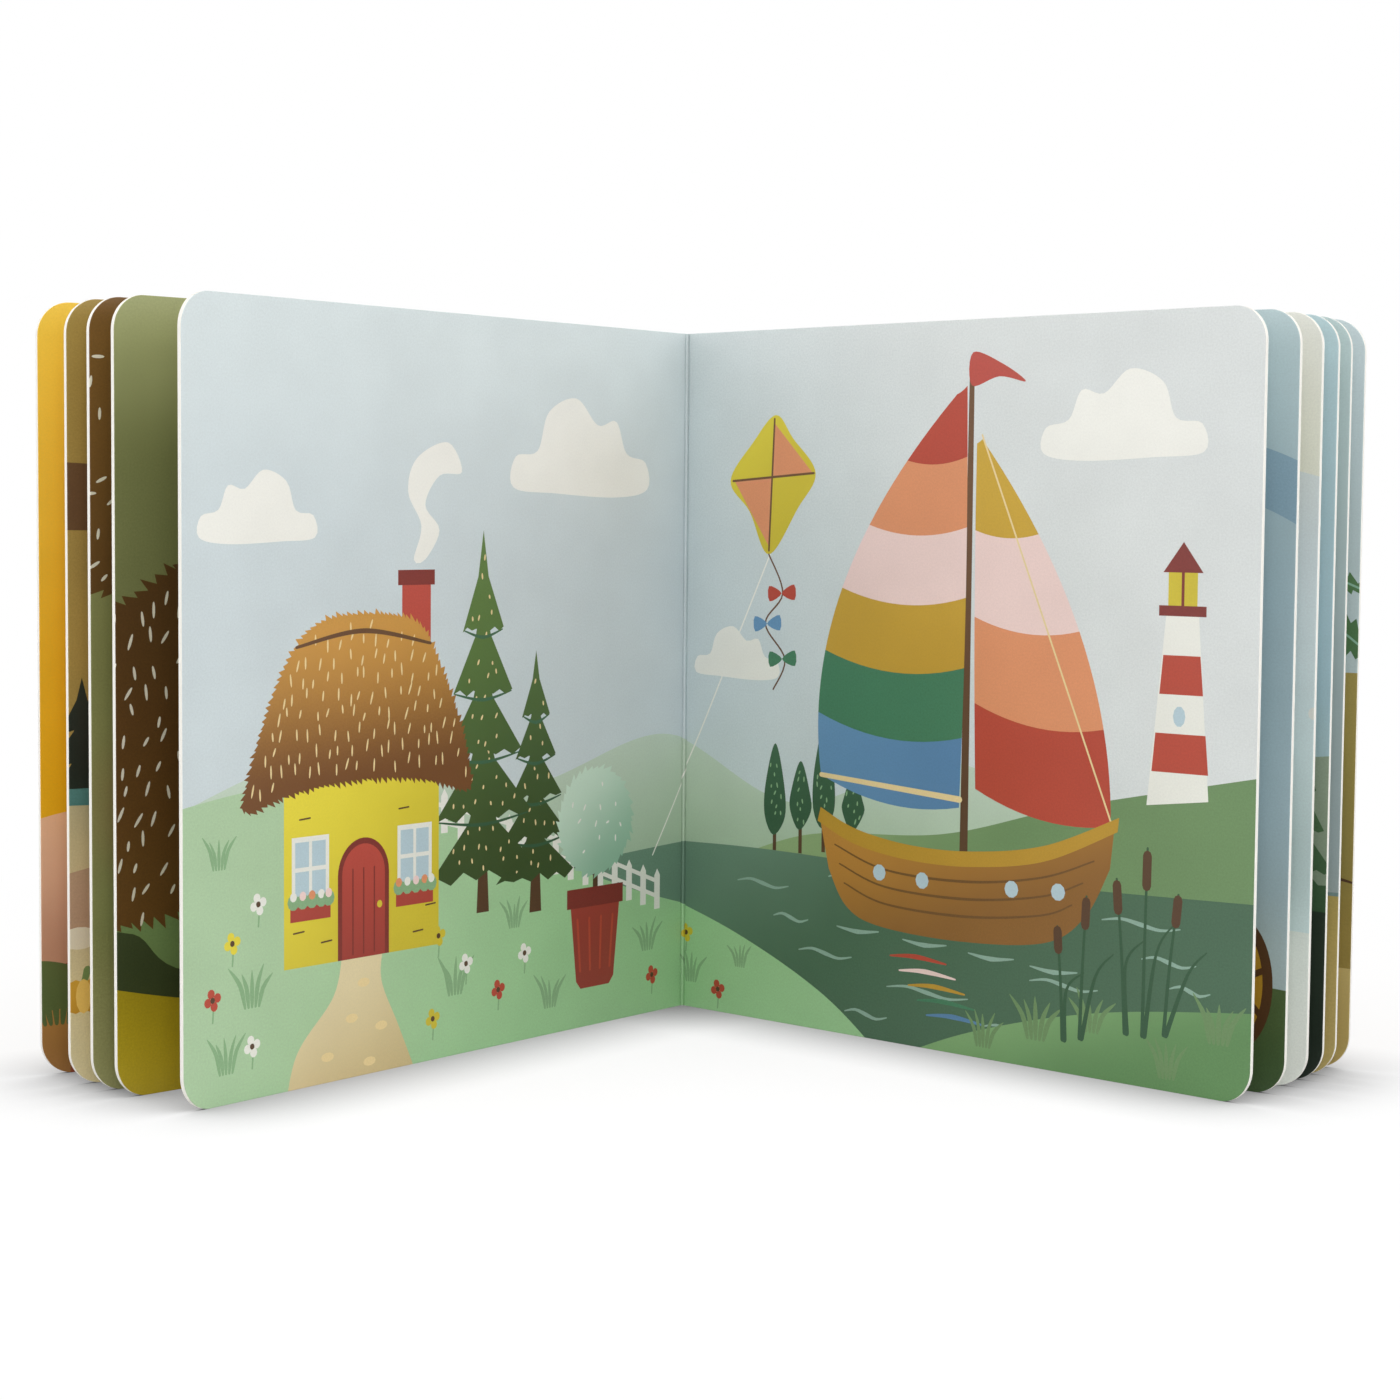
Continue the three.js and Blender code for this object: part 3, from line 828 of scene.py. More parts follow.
# Poplars at the near end of the far hill.
for x, foot, tall in ((34, 47, 26), (43, 49, 20), (51, 50, 29), (61, 50, 17)):
    lay(art, bark, box(x - 0.6, foot - 4, x + 0.6, foot + 5))
    lay(art, poplar,
        blob((x - 0.4, foot + 2), (x + 3.6, foot + 7), (x + 3.2, foot + tall * 0.6), (x, foot + tall),
             (x - 3.3, foot + tall * 0.6), (x - 3.6, foot + 7)))
    lay(art, sage_shade, *dashes(disc(x, foot + tall / 2, 2.8, tall * 0.42), 2.6, 1.6, 0.5, 80, int(x)))

# The lake, its ripples, and a boat that sails on it.
lay(art, water, ground((-60, 42), (20, 45), (100, 44), (190, 46)))
for x, y, length in ((150, 38, 22), (118, 34, 16), (60, 40, 14), (158, 30, 15), (30, 36, 18), (86, 14, 26),
                     (128, 21, 20), (52, 20, 18), (112, 8, 16), (66, 6, 14), (164, 24, 11), (40, 28, 12)):
    lay(art, ripple,
        brush([(x - length / 2, y), (x - length / 4, y + 0.8), (x, y), (x + length / 4, y - 0.8),
               (x + length / 2, y)], 0.3, 1.1, 0.3))
lay(art, bark, brush([(97, 46), (97.6, 168)], 2.6, 1.5))


def sail(art, low_left, low_right, head_left, head_right, bulge, tints):
    """A sail that bellies out, cut into bands of cloth from foot to head."""
    def edge(low, high, bow, share):
        out = 4 * share * (1 - share) * bow
        return low[0] + (high[0] - low[0]) * share + out, low[1] + (high[1] - low[1]) * share

    for k, tint in enumerate(tints):
        shares = [(k + step / 6) / len(tints) for step in range(7)]
        left = [edge(low_left, head_left, bulge[0], share) for share in shares]
        right = [edge(low_right, head_right, bulge[1], share) for share in shares]
        seam = [[(a[0] + (b[0] - a[0]) * t, a[1] + (b[1] - a[1]) * t - 0.3 * (b[0] - a[0]) * t * (1 - t))
                 for t in [step / 12 for step in range(1, 12)]]
                for a, b in ((left[0], right[0]), (left[-1], right[-1]))]
        lay(art, tint, left[::-1] + seam[0] + right + seam[1][::-1])


sail(art, (50, 66), (95.4, 61), (93, 162), (96.2, 164), (-15, 0.8), [blue, green, mustard, pink, orange, red])
sail(art, (100.4, 66), (141, 60), (99.4, 150), (101, 151), (-0.5, 10), [red, orange, pink, mustard])
lay(art, straw, brush([(95.6, 63), (50, 66)], 1.6, 1.2), brush([(101, 152), (142, 59)], 0.5))
lay(art, brick, blob((97.6, 164), (106, 166), (114, 164.6), (107, 169), (97.8, 172)))
lay(art, plank, bent([(50, 54), (62, 49.5), (80, 47.4), (100, 47.6), (122, 51), (142, 59)])
    + bent([(141, 50), (134, 38), (122, 30.5), (96, 28), (70, 29), (59, 33), (53, 42)]))
lay(art, mustard, bent([(49, 54), (62, 49), (80, 46.6), (100, 46.8), (122, 50.2), (143, 59)])
    + bent([(143.4, 62.4), (122, 54), (100, 50.6), (80, 50.4), (62, 53), (50, 57.6)]))
for drop in (0.28, 0.52, 0.76):
    lay(art, plank_line,
        brush([(53 + 7 * drop, 54 - 20 * drop), (72, 48.5 - 18 * drop), (98, 48 - 18 * drop),
               (121, 51.5 - 19 * drop), (140 - 13 * drop, 58 - 23 * drop)], 0.4, 0.7, 0.4))
for x in (70, 84, 112, 126):
    lay(art, glass, disc(x, 41.5 + abs(x - 92) * 0.05, 2.1))
lay(art, ripple,
    *[brush([(x, 27.5 - k), (x + 7, 26.8 - k), (x + 14, 27.5 - k)], 0.3, 1.2, 0.3)
      for k, x in enumerate((56, 78, 99, 118))])
for k, tint in enumerate((red, pink, mustard, green, blue)):
    lay(art, tint,
        brush([(74 + 3 * k, 22 - 3.4 * k), (82 + 3 * k, 22.6 - 3.4 * k),
               (92 + 3 * k, 21.8 - 3.4 * k)], 0.4, 1.3, 0.4))

# A kite, tied to the garden fence.
lay(art, white, brush([(34, 127), (20, 100), (2, 66), (-14, 42)], 0.45))
lay(art, yellow, blob((33, 158), (39, 152), (47, 143), (41, 134), (31, 122), (24, 133), (17, 141), (25, 151)))
lay(art, orange, [(32.5, 156), (46, 143), (32, 142)], [(31, 124), (18.5, 141), (32, 142)])
lay(art, bark, brush([(32.6, 157), (31, 123)], 0.6), brush([(18, 141), (46.4, 143)], 0.6))
lay(art, bark, brush([(31, 122), (36, 112), (30, 104), (37, 95), (33, 87)], 0.5))
for x, y, tint in ((35.6, 112, red), (30.6, 104, blue), (36, 95, green)):
    lay(art, tint, blob((x, y), (x + 4.4, y + 2.4), (x + 4.6, y - 1.6)),
        blob((x, y), (x - 4.4, y + 1.8), (x - 4.2, y - 2.2)))

# The pale hill with the garden fence along its top.
HILL = [(-190, 66), (-150, 70), (-110, 63), (-60, 46), (-20, 33), (20, 22), (52, 9), (74, -6)]


def hill_top(x):
    (x0, y0), (x1, y1) = next((a, b) for a, b in zip(HILL, HILL[1:]) if b[0] >= x)
    return y0 + (y1 - y0) * (x - x0) / (x1 - x0)


lay(art, sage, ground(*HILL))
lay(art, white, brush([(-98, hill_top(-98) + 3), (-60, 51.6), (-12, hill_top(-12) + 4)], 1.1),
    brush([(-98, hill_top(-98) - 1), (-60, 47.6), (-12, hill_top(-12))], 1.1))
for x in range(-96, -11, 6):
    y = hill_top(x)
    lay(art, white,
        [(x - 1.2, y - 3.4), (x + 1.2, y - 3.4), (x + 1.2, y + 5.6), (x, y + 7.4), (x - 1.2, y + 5.6)])
for seed, (x, y, tall) in enumerate(((-170, 54, 7), (-160, 22, 9), (-92, 16, 9), (-70, 30, 7), (-16, 18, 8),
                                     (4, 8, 7), (-168, 8, 8), (22, 14, 6), (-56, 8, 8))):
    lay(art, sage_shade, *tuft(x, y, tall, 5, seed))

# The conifers, speckled with light.
for x, foot, tall, width in ((-62, 40, 58, 30), (-82, 42, 86, 42)):
    lay(art, bark, [(x - 2.2, foot - 8), (x + 2.4, foot - 8), (x + 1.6, foot + 6), (x - 1.4, foot + 6)])
    for k, bough in enumerate(tree_tiers(x, foot, tall, width, 5, int(x))):
        lay(art, pine, bough)
        lay(art, straw, *dashes(bough, 4.6, 1.7, 0.6, 80, k + 3))
        if k < 4:
            low = foot + tall * (k + 1) / 5.6
            half = width / 2 * (0.82 - 0.16 * k)
            lay(art, poplar,
                brush([(x - half, low + 0.2), (x, low - 1.6), (x + half, low + 0.2)], 0.3, 0.9, 0.3))

# The cottage: yellow walls, a brick door and chimney, and a roof of combed thatch.
lay(art, sand, bent([(-131, 31), (-134, 20), (-146, 8), (-150, -6)])
    + bent([(-104, -6), (-112, 10), (-118, 22), (-117, 31)]))
lay(art, straw,
    *[disc(x, y, 2.1, 1.1) for x, y in ((-124, 22), (-128, 14), (-118, 11), (-136, 6), (-122, 3))])
lay(art, brick, box(-111, 92, -101, 117))
lay(art, maroon, box(-112.4, 115, -99.6, 118.6))
lay(art, white,
    blob((-107, 121), (-103, 121), (-98, 128), (-103, 134), (-98, 141), (-90, 142), (-95, 149), (-106, 145),
         (-109, 137), (-104.4, 129)))
lay(art, yellow, box(-150, 28, -98, 80))
lay(art, bark,
    *[brush([(x, y), (x + 3.4, y + 0.2)], 0.4)
      for x, y in ((-147, 36), (-102.6, 38), (-145, 62), (-112, 62), (-138, 33), (-107, 32))])
lay(art, maroon, [(-132.6, 28), (-115.4, 28)] + [(-124 + x, 47.6 + y) for x, y in arc(8.6, 0, 180, 9)])
lay(art, brick, [(-131.2, 28), (-116.8, 28)] + [(-124 + x, 47.6 + y) for x, y in arc(7.2, 0, 180, 9)])
lay(art, maroon, *[brush([(x, 29), (x, 49)], 0.45) for x in (-127.6, -124, -120.4)])
lay(art, yellow, disc(-118.6, 40, 0.9))
for x in (-141.5, -106.5):
    lay(art, white, box(x - 6, 43, x + 6, 58))
    lay(art, glass, *[box(x + a, y, x + a + 4.4, y + 5.8) for a in (-4.9, 0.5) for y in (44.2, 51)])
lay(art, brick, box(-113, 38.6, -100, 42.4), box(-148, 38.6, -135, 42.4))
for k, x in enumerate((-147, -144, -141, -138, -135.6, -112, -109, -106, -103, -100.6)):
    lay(art, sage_shade, disc(x, 43.2, 1.9))
    lay(art, (white, pink, orange)[k % 3], disc(x, 44.4, 1.1))
roof = bent([(-163, 66), (-158, 80), (-150, 96), (-140, 106), (-124, 108.4), (-106, 106), (-98, 96),
             (-90, 80), (-86, 66)])
roof += bent([(-88, 64.6), (-104, 68.6), (-124, 70), (-146, 68.4), (-161, 64.6)])[1:]
lay(art, thatch, frayed(roof, 1.7, 1.6, 7))
lay(art, straw, *dashes(roof, 4.2, 3.4, 0.55, 82, 11, 16))
lay(art, bark, brush([(-146, 101.4), (-124, 104.6), (-101, 101)], 0.7, 1.2, 0.7))

# A flowerpot with a clipped bush, and flowers in the grass.
lay(art, bark, brush([(-38, 34), (-38, 46)], 2))
lay(art, mint, frayed(disc(-38, 53, 14.6, 13.6), 2.6, 1.7, 5))
lay(art, white, *dashes(disc(-38, 53, 12, 11.4), 5.4, 2, 0.6, 60, 2, 70))
lay(art, brick, [(-48, 32), (-45.6, 12), (-43.8, 10), (-32.2, 10), (-30.4, 12), (-28, 32)])
lay(art, maroon, [(-49.4, 36), (-49.4, 31), (-26.6, 31), (-26.6, 36)])
lay(art, red, *[brush([(x, 14.6), (x + (x + 38) * 0.2, 28)], 0.8) for x in (-44, -40, -36, -32)])
for k, (x, y) in enumerate(((-166, 36), (-158, 44), (-172, 24), (-98, 30), (-88, 22), (-76, 14), (-100, 10),
                            (-66, 22), (-14, 10), (2, 20), (-160, 12), (14, 6))):
    lay(art, sage_shade, brush([(x, y - 5), (x + 0.4, y)], 0.5))
    lay(art, (yellow, white, red)[k % 3],
        *[disc(x + 1.5 * math.cos(a), y + 1.5 * math.sin(a), 1.1) for a in (0.3, 1.87, 3.44, 5.01)])
    lay(art, bark, disc(x, y, 0.7))

# The near bank, with reeds.
lay(art, bank, ground((70, -6), (100, 6), (140, 16), (190, 22)))
for seed, (x, y, tall) in enumerate(((104, 4, 8), (120, 8, 10), (136, 12, 9), (172, 14, 10), (158, 4, 8))):
    lay(art, far_hill, *tuft(x, y, tall, 5, seed + 20))
for x, y, tall, lean in ((146, 12, 36, -3), (151, 12, 44, 0.6), (157, 13, 33, 3.4), (128, 8, 27, -2),
                         (133, 9, 34, 1.4)):
    tip = (x + lean, y + tall)
    lay(art, poplar, brush([(x, y), (x + lean * 0.4, y + tall * 0.5), tip], 1.1, 0.6))
    lay(art, poplar,
        brush([(x + 0.6, y), (x + lean + 3, y + tall * 0.45),
               (x + lean + 8, y + tall * 0.62)], 1.4, 1, 0.3))
    lay(art, bark, brush([(x + lean * 0.82, y + tall * 0.8), (x + lean * 0.97, y + tall * 0.96)], 2.5, 2.5))
spread(5, art)


# --- The sixth spread: windmills under a slate sky ------------------------------------------------
# A sheet of the same card. Broad bands of slate blue circle in the sky, over wheat fields, three windmills
# and a cartwheel in the grass.
slate = ink("slate_sky_ink", "#c2d4d6", "#b0c6cc", (0, 180), (0, 110))
slate_band = ink("slate_band_ink", "#95b1c0")
slate_hill = ink("slate_hill_ink", "#8fa9a8", "#78928f", (0, 70), (0, 30))
deep_green = ink("deep_green_ink", "#50693f", "#466038", (0, 40), (0, 0))
wheat = ink("wheat_ink", "#dccb8e", "#c9b06e", (0, 50), (0, 10))

art = [(slate, WHOLE_SPREAD)]
lay(art, slate_band, disc(150, 76, 76), disc(-90, 96, 60))
lay(art, slate, disc(150, 76, 63), disc(-90, 96, 46))
lay(art, white, cloud(-150, 140, 20), cloud(-20, 152, 16, -1), cloud(96, 148, 22), disc(112, 96, 20))
lay(art, slate_hill,
    ground((-190, 50), (-120, 66), (-50, 50), (20, 64), (80, 50), (130, 34), (170, 12), (190, 4)))
lay(art, wheat, ground((-190, 36), (-120, 44), (-40, 34), (40, 40), (100, 28), (150, 10), (190, 2)))
lay(art, bark, *[brush([(x, 0), (x * 0.96, 22), (x * 0.9, 38)], 0.9) for x in range(-180, 60, 14)])
for x, foot, tall in ((-118, 40, 62), (-36, 34, 46), (46, 36, 54)):
    lay(art, white, tower(x, foot, tall * 0.17, foot + tall, tall * 0.1))
    lay(art, brick,
        blob((x - tall * 0.13, foot + tall), (x, foot + tall - 2), (x + tall * 0.13, foot + tall),
             (x, foot + tall * 1.2)),
        box(x - tall * 0.06, foot, x + tall * 0.06, foot + tall * 0.22))
    for k in range(4):
        way = Vector((math.cos(0.5 + k * math.pi / 2), math.sin(0.5 + k * math.pi / 2))) * tall * 0.56
        side = Vector((-way.y, way.x)) * 0.2
        hub = Vector((x, foot + tall))
        lay(art, sand,
            [tuple(hub + way * 0.16), tuple(hub + way), tuple(hub + way + side),
             tuple(hub + way * 0.2 + side)])
        lay(art, bark, brush([tuple(hub - way * 0.07), tuple(hub + way)], 1))
    lay(art, bark, disc(x, foot + tall, 1.8))
lay(art, deep_green, ground((-190, 8), (-100, 14), (0, 8), (70, 20), (130, 26), (190, 24)))
lay(art, bark, disc(167, 25, 10, 16))
lay(art, mustard, disc(167, 25, 7.4, 13.4))
lay(art, bark,
    *[brush([(167 - 8 * math.cos(a), 25 - 14 * math.sin(a)),
             (167 + 8 * math.cos(a), 25 + 14 * math.sin(a))], 1.5) for a in (0.26, 1.05, 1.83, 2.62)],
    disc(167, 25, 2.4, 3.6))
for k, (x, y) in enumerate(((84, 12), (98, 18), (110, 11), (126, 17), (140, 9), (60, 8), (20, 4), (-60, 5),
                            (-130, 6))):
    lay(art, far_hill, brush([(x, y - 6), (x + 0.6, y + 6)], 0.7))
    lay(art, (red, orange, pink)[k % 3],
        blob((x - 3, y + 11), (x - 2.4, y + 5), (x + 2.6, y + 5), (x + 3.4, y + 11), (x + 0.4, y + 8.4)))
spread(6, art)


# --- The seventh spread: a cabin in the snow ------------------------------------------------------
# A sheet of the same card. The winter sky is nearly the card's own white, over frosted peaks, firs and a
# snowed-in cabin.
winter_sky = ink("winter_cream_ink", "#e8e9e1", "#e8e9db", (0, 180), (0, 140))
frost = ink("frost_green_ink", "#dae3e5", "#d6e8e7", (0, 146), (0, 40))
snow = ink("snow_ink", "#e4ebe4", "#eef1ea", (0, 44), (0, 0))
fir = ink("snow_fir_ink", "#6f8f7e", "#587a6c", (0, 100), (0, 30))


def conifer(art, x, foot, tall, width, trunk_foot, needles, light, seed, strokes, spread=25):
    """A conifer on its trunk, with strokes of light or snow on every bough."""
    lay(art, bark, box(x - 2.4, trunk_foot, x + 2.4, foot + 6))
    for k, bough in enumerate(tree_tiers(x, foot, tall, width, 5, int(x))):
        lay(art, needles, bough)
        lay(art, light, *dashes(bough, *strokes, k + seed, spread))


art = [(winter_sky, WHOLE_SPREAD)]
lay(art, white, cloud(-120, 160, 15, -1), cloud(40, 160, 18))
lay(art, frost,
    ground((-190, 118), (-150, 148), (-104, 110), (-60, 130), (-10, 98), (50, 136), (90, 112), (140, 146),
           (190, 140)))
lay(art, white, blob((-164, 139), (-150, 148.4), (-138, 138), (-146, 134), (-152, 138)),
    blob((38, 130), (50, 136), (60, 129), (50, 126)))
lay(art, slate_hill, ground((-190, 56), (-120, 70), (-40, 52), (50, 66), (110, 54), (156, 38), (190, 26)))
for k, x in enumerate((-176, -158, -140, -22, -4, 16, 128, 144)):
    lay(art, fir, *tree_tiers(x, 44 + 3 * (k % 2), 36 + 8 * (k % 3), 20, 4, k + 60))
lay(art, snow, ground((-190, 40), (-130, 48), (-60, 40), (10, 50), (80, 42), (190, 36)))
for x, foot, tall, width in ((-100, 30, 84, 42), (104, 24, 96, 46)):
    conifer(art, x, foot, tall, width, foot - 8, fir, white, 9, (5, 2.4, 1, 70), 40)
lay(art, clay, box(-66, 26, -18, 56))
lay(art, dusk, *[brush([(-66, y), (-18, y)], 0.6) for y in (32, 38, 44, 50)], box(-48, 26, -37, 44))
lay(art, low_sun, box(-62, 36, -53, 46), box(-32, 36, -23, 46))
lay(art, white, blob((-76, 54), (-60, 76), (-42, 86), (-24, 76), (-8, 54), (-42, 58)))
lay(art, white, *[disc(-176 + 8.1 * (k * 19 % 45), 66 + 2.4 * (k * 13 % 47), 1.5) for k in range(46)])
lay(art, frost,
    *[brush([(x, y), (x + 20, y + 2), (x + 40, y)], 0.4, 1.6, 0.4)
      for x, y in ((-170, 18), (-80, 12), (10, 24), (60, 10), (130, 16))])
spread(7, art)


# --- The eighth spread: a tent at nightfall -------------------------------------------------------
# A sheet of the same card. A thin moon and stars stand over a row of spruces, and the grass under the
# yellow tent and its fire is nearly black.
night_blue = ink("nightfall_blue_ink", "#c4dadd", "#b3cfd6", (0, 180), (0, 80))
night_hill = ink("night_hill_ink", "#9aaa94", "#8fa188", (0, 78), (0, 46))
spruce = ink("spruce_ink", "#4e6f4a", "#3f5f3e", (0, 60), (0, 38))
night_grass = ink("night_grass_ink", "#2c3a2c", "#263227", (0, 42), (0, 0))

art = [(night_blue, WHOLE_SPREAD)]
lay(art, low_sun, disc(-110, 142, 17))
lay(art, night_blue, disc(-102, 147, 15))
lay(art, bone,
    *[disc(x, y, 1.1)
      for x, y in ((-160, 160), (-140, 120), (-70, 150), (-30, 166), (-10, 130), (24, 156), (60, 170),
                   (76, 132), (110, 158), (140, 140), (166, 164), (150, 112), (-60, 116))])
lay(art, night_hill, ground((-190, 84), (-120, 92), (-40, 74), (50, 88), (120, 74), (190, 78)))
for k, x in enumerate(range(-184, 190, 17)):
    lay(art, spruce, *tree_tiers(x, 40, 34 + 12 * math.sin(k * 1.9), 22, 4, k + 80))
lay(art, spruce, ground((-190, 44), (-60, 50), (60, 44), (190, 47)))
lay(art, night_grass, ground((-190, 38), (-100, 42), (0, 34), (100, 42), (190, 40)))
lay(art, yellow, [(-98, 16), (-38, 16), (-66, 70), (-70, 70)])
lay(art, orange, [(-98, 16), (-110, 22), (-70, 70)])
lay(art, dusk, [(-78, 16), (-58, 16), (-68, 52)])
lay(art, bone, brush([(-68, 70), (-24, 12)], 0.7), brush([(-68, 70), (-124, 14)], 0.7))
lay(art, bark, brush([(30, 12), (62, 20)], 5), brush([(62, 12), (30, 20)], 5))
lay(art, red, blob((34, 20), (32, 34), (40, 42), (46, 58), (52, 42), (60, 34), (58, 20)))
lay(art, orange, blob((38, 20), (38, 32), (46, 44), (53, 32), (54, 20)))
lay(art, yellow, blob((42, 20), (42, 28), (46, 34), (50, 28), (50, 20)))
for x, tall in ((104, 84), (150, 96)):
    conifer(art, x, 32, tall, tall * 0.46, 22, spruce, bone, 4, (6.4, 2, 0.6, 80))
spread(8, art)


# --- The ninth spread: bringing in the hay --------------------------------------------------------
# A sheet of the same card. Haystacks and a brick barn stand on stubble, under a grey sky that is about to
# rain.
rain_sky = ink("rain_sky_ink", "#c6d8d7", "#a9b8b8", (0, 180), (0, 50))
stubble = ink("stubble_ink", "#bba862", "#c3b172", (0, 46), (0, 0))
hay = ink("hay_ink", "#ddbb66", "#bb9440", (0, 60), (0, 16))

art = [(rain_sky, WHOLE_SPREAD)]
lay(art, white, cloud(-140, 142, 24, -1), cloud(-66, 158, 15), cloud(30, 136, 26, -1), cloud(120, 156, 18))
lay(art, slate_hill, ground((-190, 50), (-110, 60), (-30, 50), (60, 58), (130, 46), (190, 44)))
lay(art, brick, box(-160, 38, -106, 72), [(-166, 70), (-100, 70), (-112, 92), (-133, 102), (-154, 92)])
lay(art, white, box(-146, 38, -120, 62), box(-138, 76, -128, 86))
lay(art, brick, [(-144, 40), (-123.4, 60), (-122, 58.6), (-142.6, 38.6)],
    [(-122, 40), (-143, 60), (-144, 58.6), (-123.4, 38.6)])
lay(art, stubble, ground((-190, 42), (-80, 46), (20, 38), (110, 44), (190, 43)))
lay(art, wheat, *dashes(box(-190, 2, 190, 40), 9, 5, 0.7, 84, 17, 20))
for x, y, size in ((-70, 30, 24), (-14, 22, 30), (70, 26, 30), (136, 22, 26)):
    stack = frayed(blob((x - size * 0.8, y), (x - size * 0.86, y + size * 0.5),
                        (x - size * 0.4, y + size * 1.1), (x, y + size * 1.36),
                        (x + size * 0.4, y + size * 1.1), (x + size * 0.86, y + size * 0.5),
                        (x + size * 0.8, y), (x, y - 3)), 2.6, 2, int(x))
    lay(art, hay, stack)
    lay(art, bone, *dashes(stack, 5, 3.6, 0.6, 74, int(y), 24))
    lay(art, bark, brush([(x, y + size * 1.3), (x + 1, y + size * 1.66)], 1.2))
spread(9, art)


# --- The last spread: a beach ---------------------------------------------------------------------
# Its right page is glued inside the back cover and swings with it. Palms, a parasol and a bucket stand on
# the sand, and an ochre cliff at the right.
sea_air = ink("sea_air_ink", "#cddbdd", "#c2d2d2", (0, 180), (0, 90))
sea = ink("sea_ink", "#83b0b4", "#6c9aa0", (0, 76), (0, 40))
cliff = ink("ochre_cliff_ink", "#ab9850", "#9a8744", (0, 100), (0, 24))
beach = ink("beach_sand_ink", "#cdbb7c", "#bda763", (0, 40), (0, 0))
palm = ink("palm_green_ink", "#5c8352", "#4a7345", (0, 136), (0, 90))

art = [(sea_air, WHOLE_SPREAD)]
lay(art, white, cloud(-130, 146, 22), cloud(-30, 138, 17, -1), cloud(64, 158, 20))
lay(art, low_sun, disc(-70, 96, 17))
lay(art, sea, box(-FAR, 30, FAR, 76))
lay(art, white, *dashes(box(-190, 42, 150, 74), 12, 9, 0.7, 0, 19, 5))
lay(art, cliff, bent([(196, 95), (168, 95), (146, 84), (134, 60), (108, 44), (96, 20)]) + [(196, 10)])
lay(art, bark,
    *[brush([(x, y), (x + 14, y + 3), (x + 26, y + 1)], 0.5, 1.1, 0.4)
      for x, y in ((150, 74), (144, 58), (156, 44), (126, 44))])
lay(art, beach, ground((-190, 44), (-120, 36), (-30, 42), (40, 30), (110, 28), (190, 24)))
lay(art, bark, brush([(-120, 18), (-112, 60), (-118, 92)], 5, 4, 3.4),
    brush([(122, 22), (136, 70), (150, 108)], 5.4, 4.4, 3.6))
for x, y in ((-118, 93), (150, 109)):
    for way, long in ((-10, 40), (24, 34), (62, 28), (118, 28), (150, 36), (186, 38), (214, 30), (-34, 32)):
        a = math.radians(way)
        middle = (x + long * 0.5 * math.cos(a), y + long * 0.5 * math.sin(a) + 4)
        tip = (x + long * math.cos(a), y + long * math.sin(a) - 7)
        frond = brush([(x, y), middle, tip], 2.6, 7.4, 1)
        lay(art, palm, frayed(frond, 2.6, 2.2, way + 300))
        lay(art, mint, brush([(x, y), middle, tip], 0.5))
    lay(art, bark, disc(x - 2.6, y - 4, 2.8), disc(x + 3, y - 4.6, 2.8))
lay(art, bark, brush([(-46, 12), (-30, 66)], 1.4))
for k, tint in enumerate((red, white) * 3):
    a, b = [(-66 + 12 * (k + j) + (0.4 if j else 0), 54 + 1.6 * (k + j)) for j in (0, 1)]
    lay(art, tint, [a, b, (-28, 80)])
lay(art, brick, [(28, 24), (32, 12), (58, 12), (62, 24)])
lay(art, mustard, brush([(28, 25), (45, 42), (62, 25)], 1.6))
lay(art, bone,
    *[disc(x, y, 2.6, 1.7)
      for x, y in ((-160, 16), (-140, 8), (-90, 10), (-10, 8), (82, 10), (110, 14), (140, 8), (166, 14))])
lay(art, orange,
    *[blob(*[(x + r * math.cos(k * 0.6283), y + r * math.sin(k * 0.6283))
             for k, r in enumerate((6, 2.4) * 5)]) for x, y in ((-66, 14), (96, 22), (150, 16))])
spread(10, art, right_body="back_cover")


# --- The cover sheet ------------------------------------------------------------------------------
# One last sheet goes round the block. It is glued on the first and on the last leaf, and the strip
# between them, as wide as the closed book is thick, is left loose and bows out behind the leaves.
STRIP = LEAF * len(leaves)
LOOSE_FROM = 0.55  # distance from the fold at which the sheet comes off a cover
CREASE_AT = 0.25  # and at which it turns into the bow
CREASE_STEPS = 6
BOW_STEPS = 20

# The strip's outside, its top end, its inside and its bottom end: 1 if it is printed, and the left, right,
# foot and top of its place on the texture.
STRIP_SIDES = [(1, 0.01, 0.46, 0.01, 0.93), (0, 0.01, 0.46, 0.95, 0.96),
               (0, 0.5, 0.95, 0.01, 0.93), (0, 0.5, 0.95, 0.95, 0.96)]

ochre = ink("ochre_cover_ink", "#dca936", "#c8962a", (0, PAGE), (0, 0))


class Side:
    """One side of the cover sheet: the leaf that it is glued to, and which way it faces."""

    def __init__(self, name, side, leaf, fold, out):
        self.name = name
        self.side = side
        self.leaf = leaf
        self.fold = fold
        self.out = out
        self.crease = fold + CREASE_AT * leaf.along + BACK / 2 * out


front = Side("front_cover", 1, leaves[0], leaves[0].fold_before, -leaves[0].across)
back = Side("back_cover", -1, leaves[-1], leaves[-1].fold_after, leaves[-1].across)

# The bow is an arc whose chord is the distance between the creases, and half of whose angle is found to
# 0.0001 radian.
chord = back.crease - front.crease
tried = [k / 10000 for k in range(1, 31400)]
half_angle = next(angle for angle in tried if math.sin(angle) / angle < chord.length / STRIP)
bow_radius = STRIP / (2 * half_angle)
outwards = Vector((-chord.y, chord.x, 0)).normalized()
bow_centre = (front.crease + back.crease) / 2 - bow_radius * math.cos(half_angle) * outwards

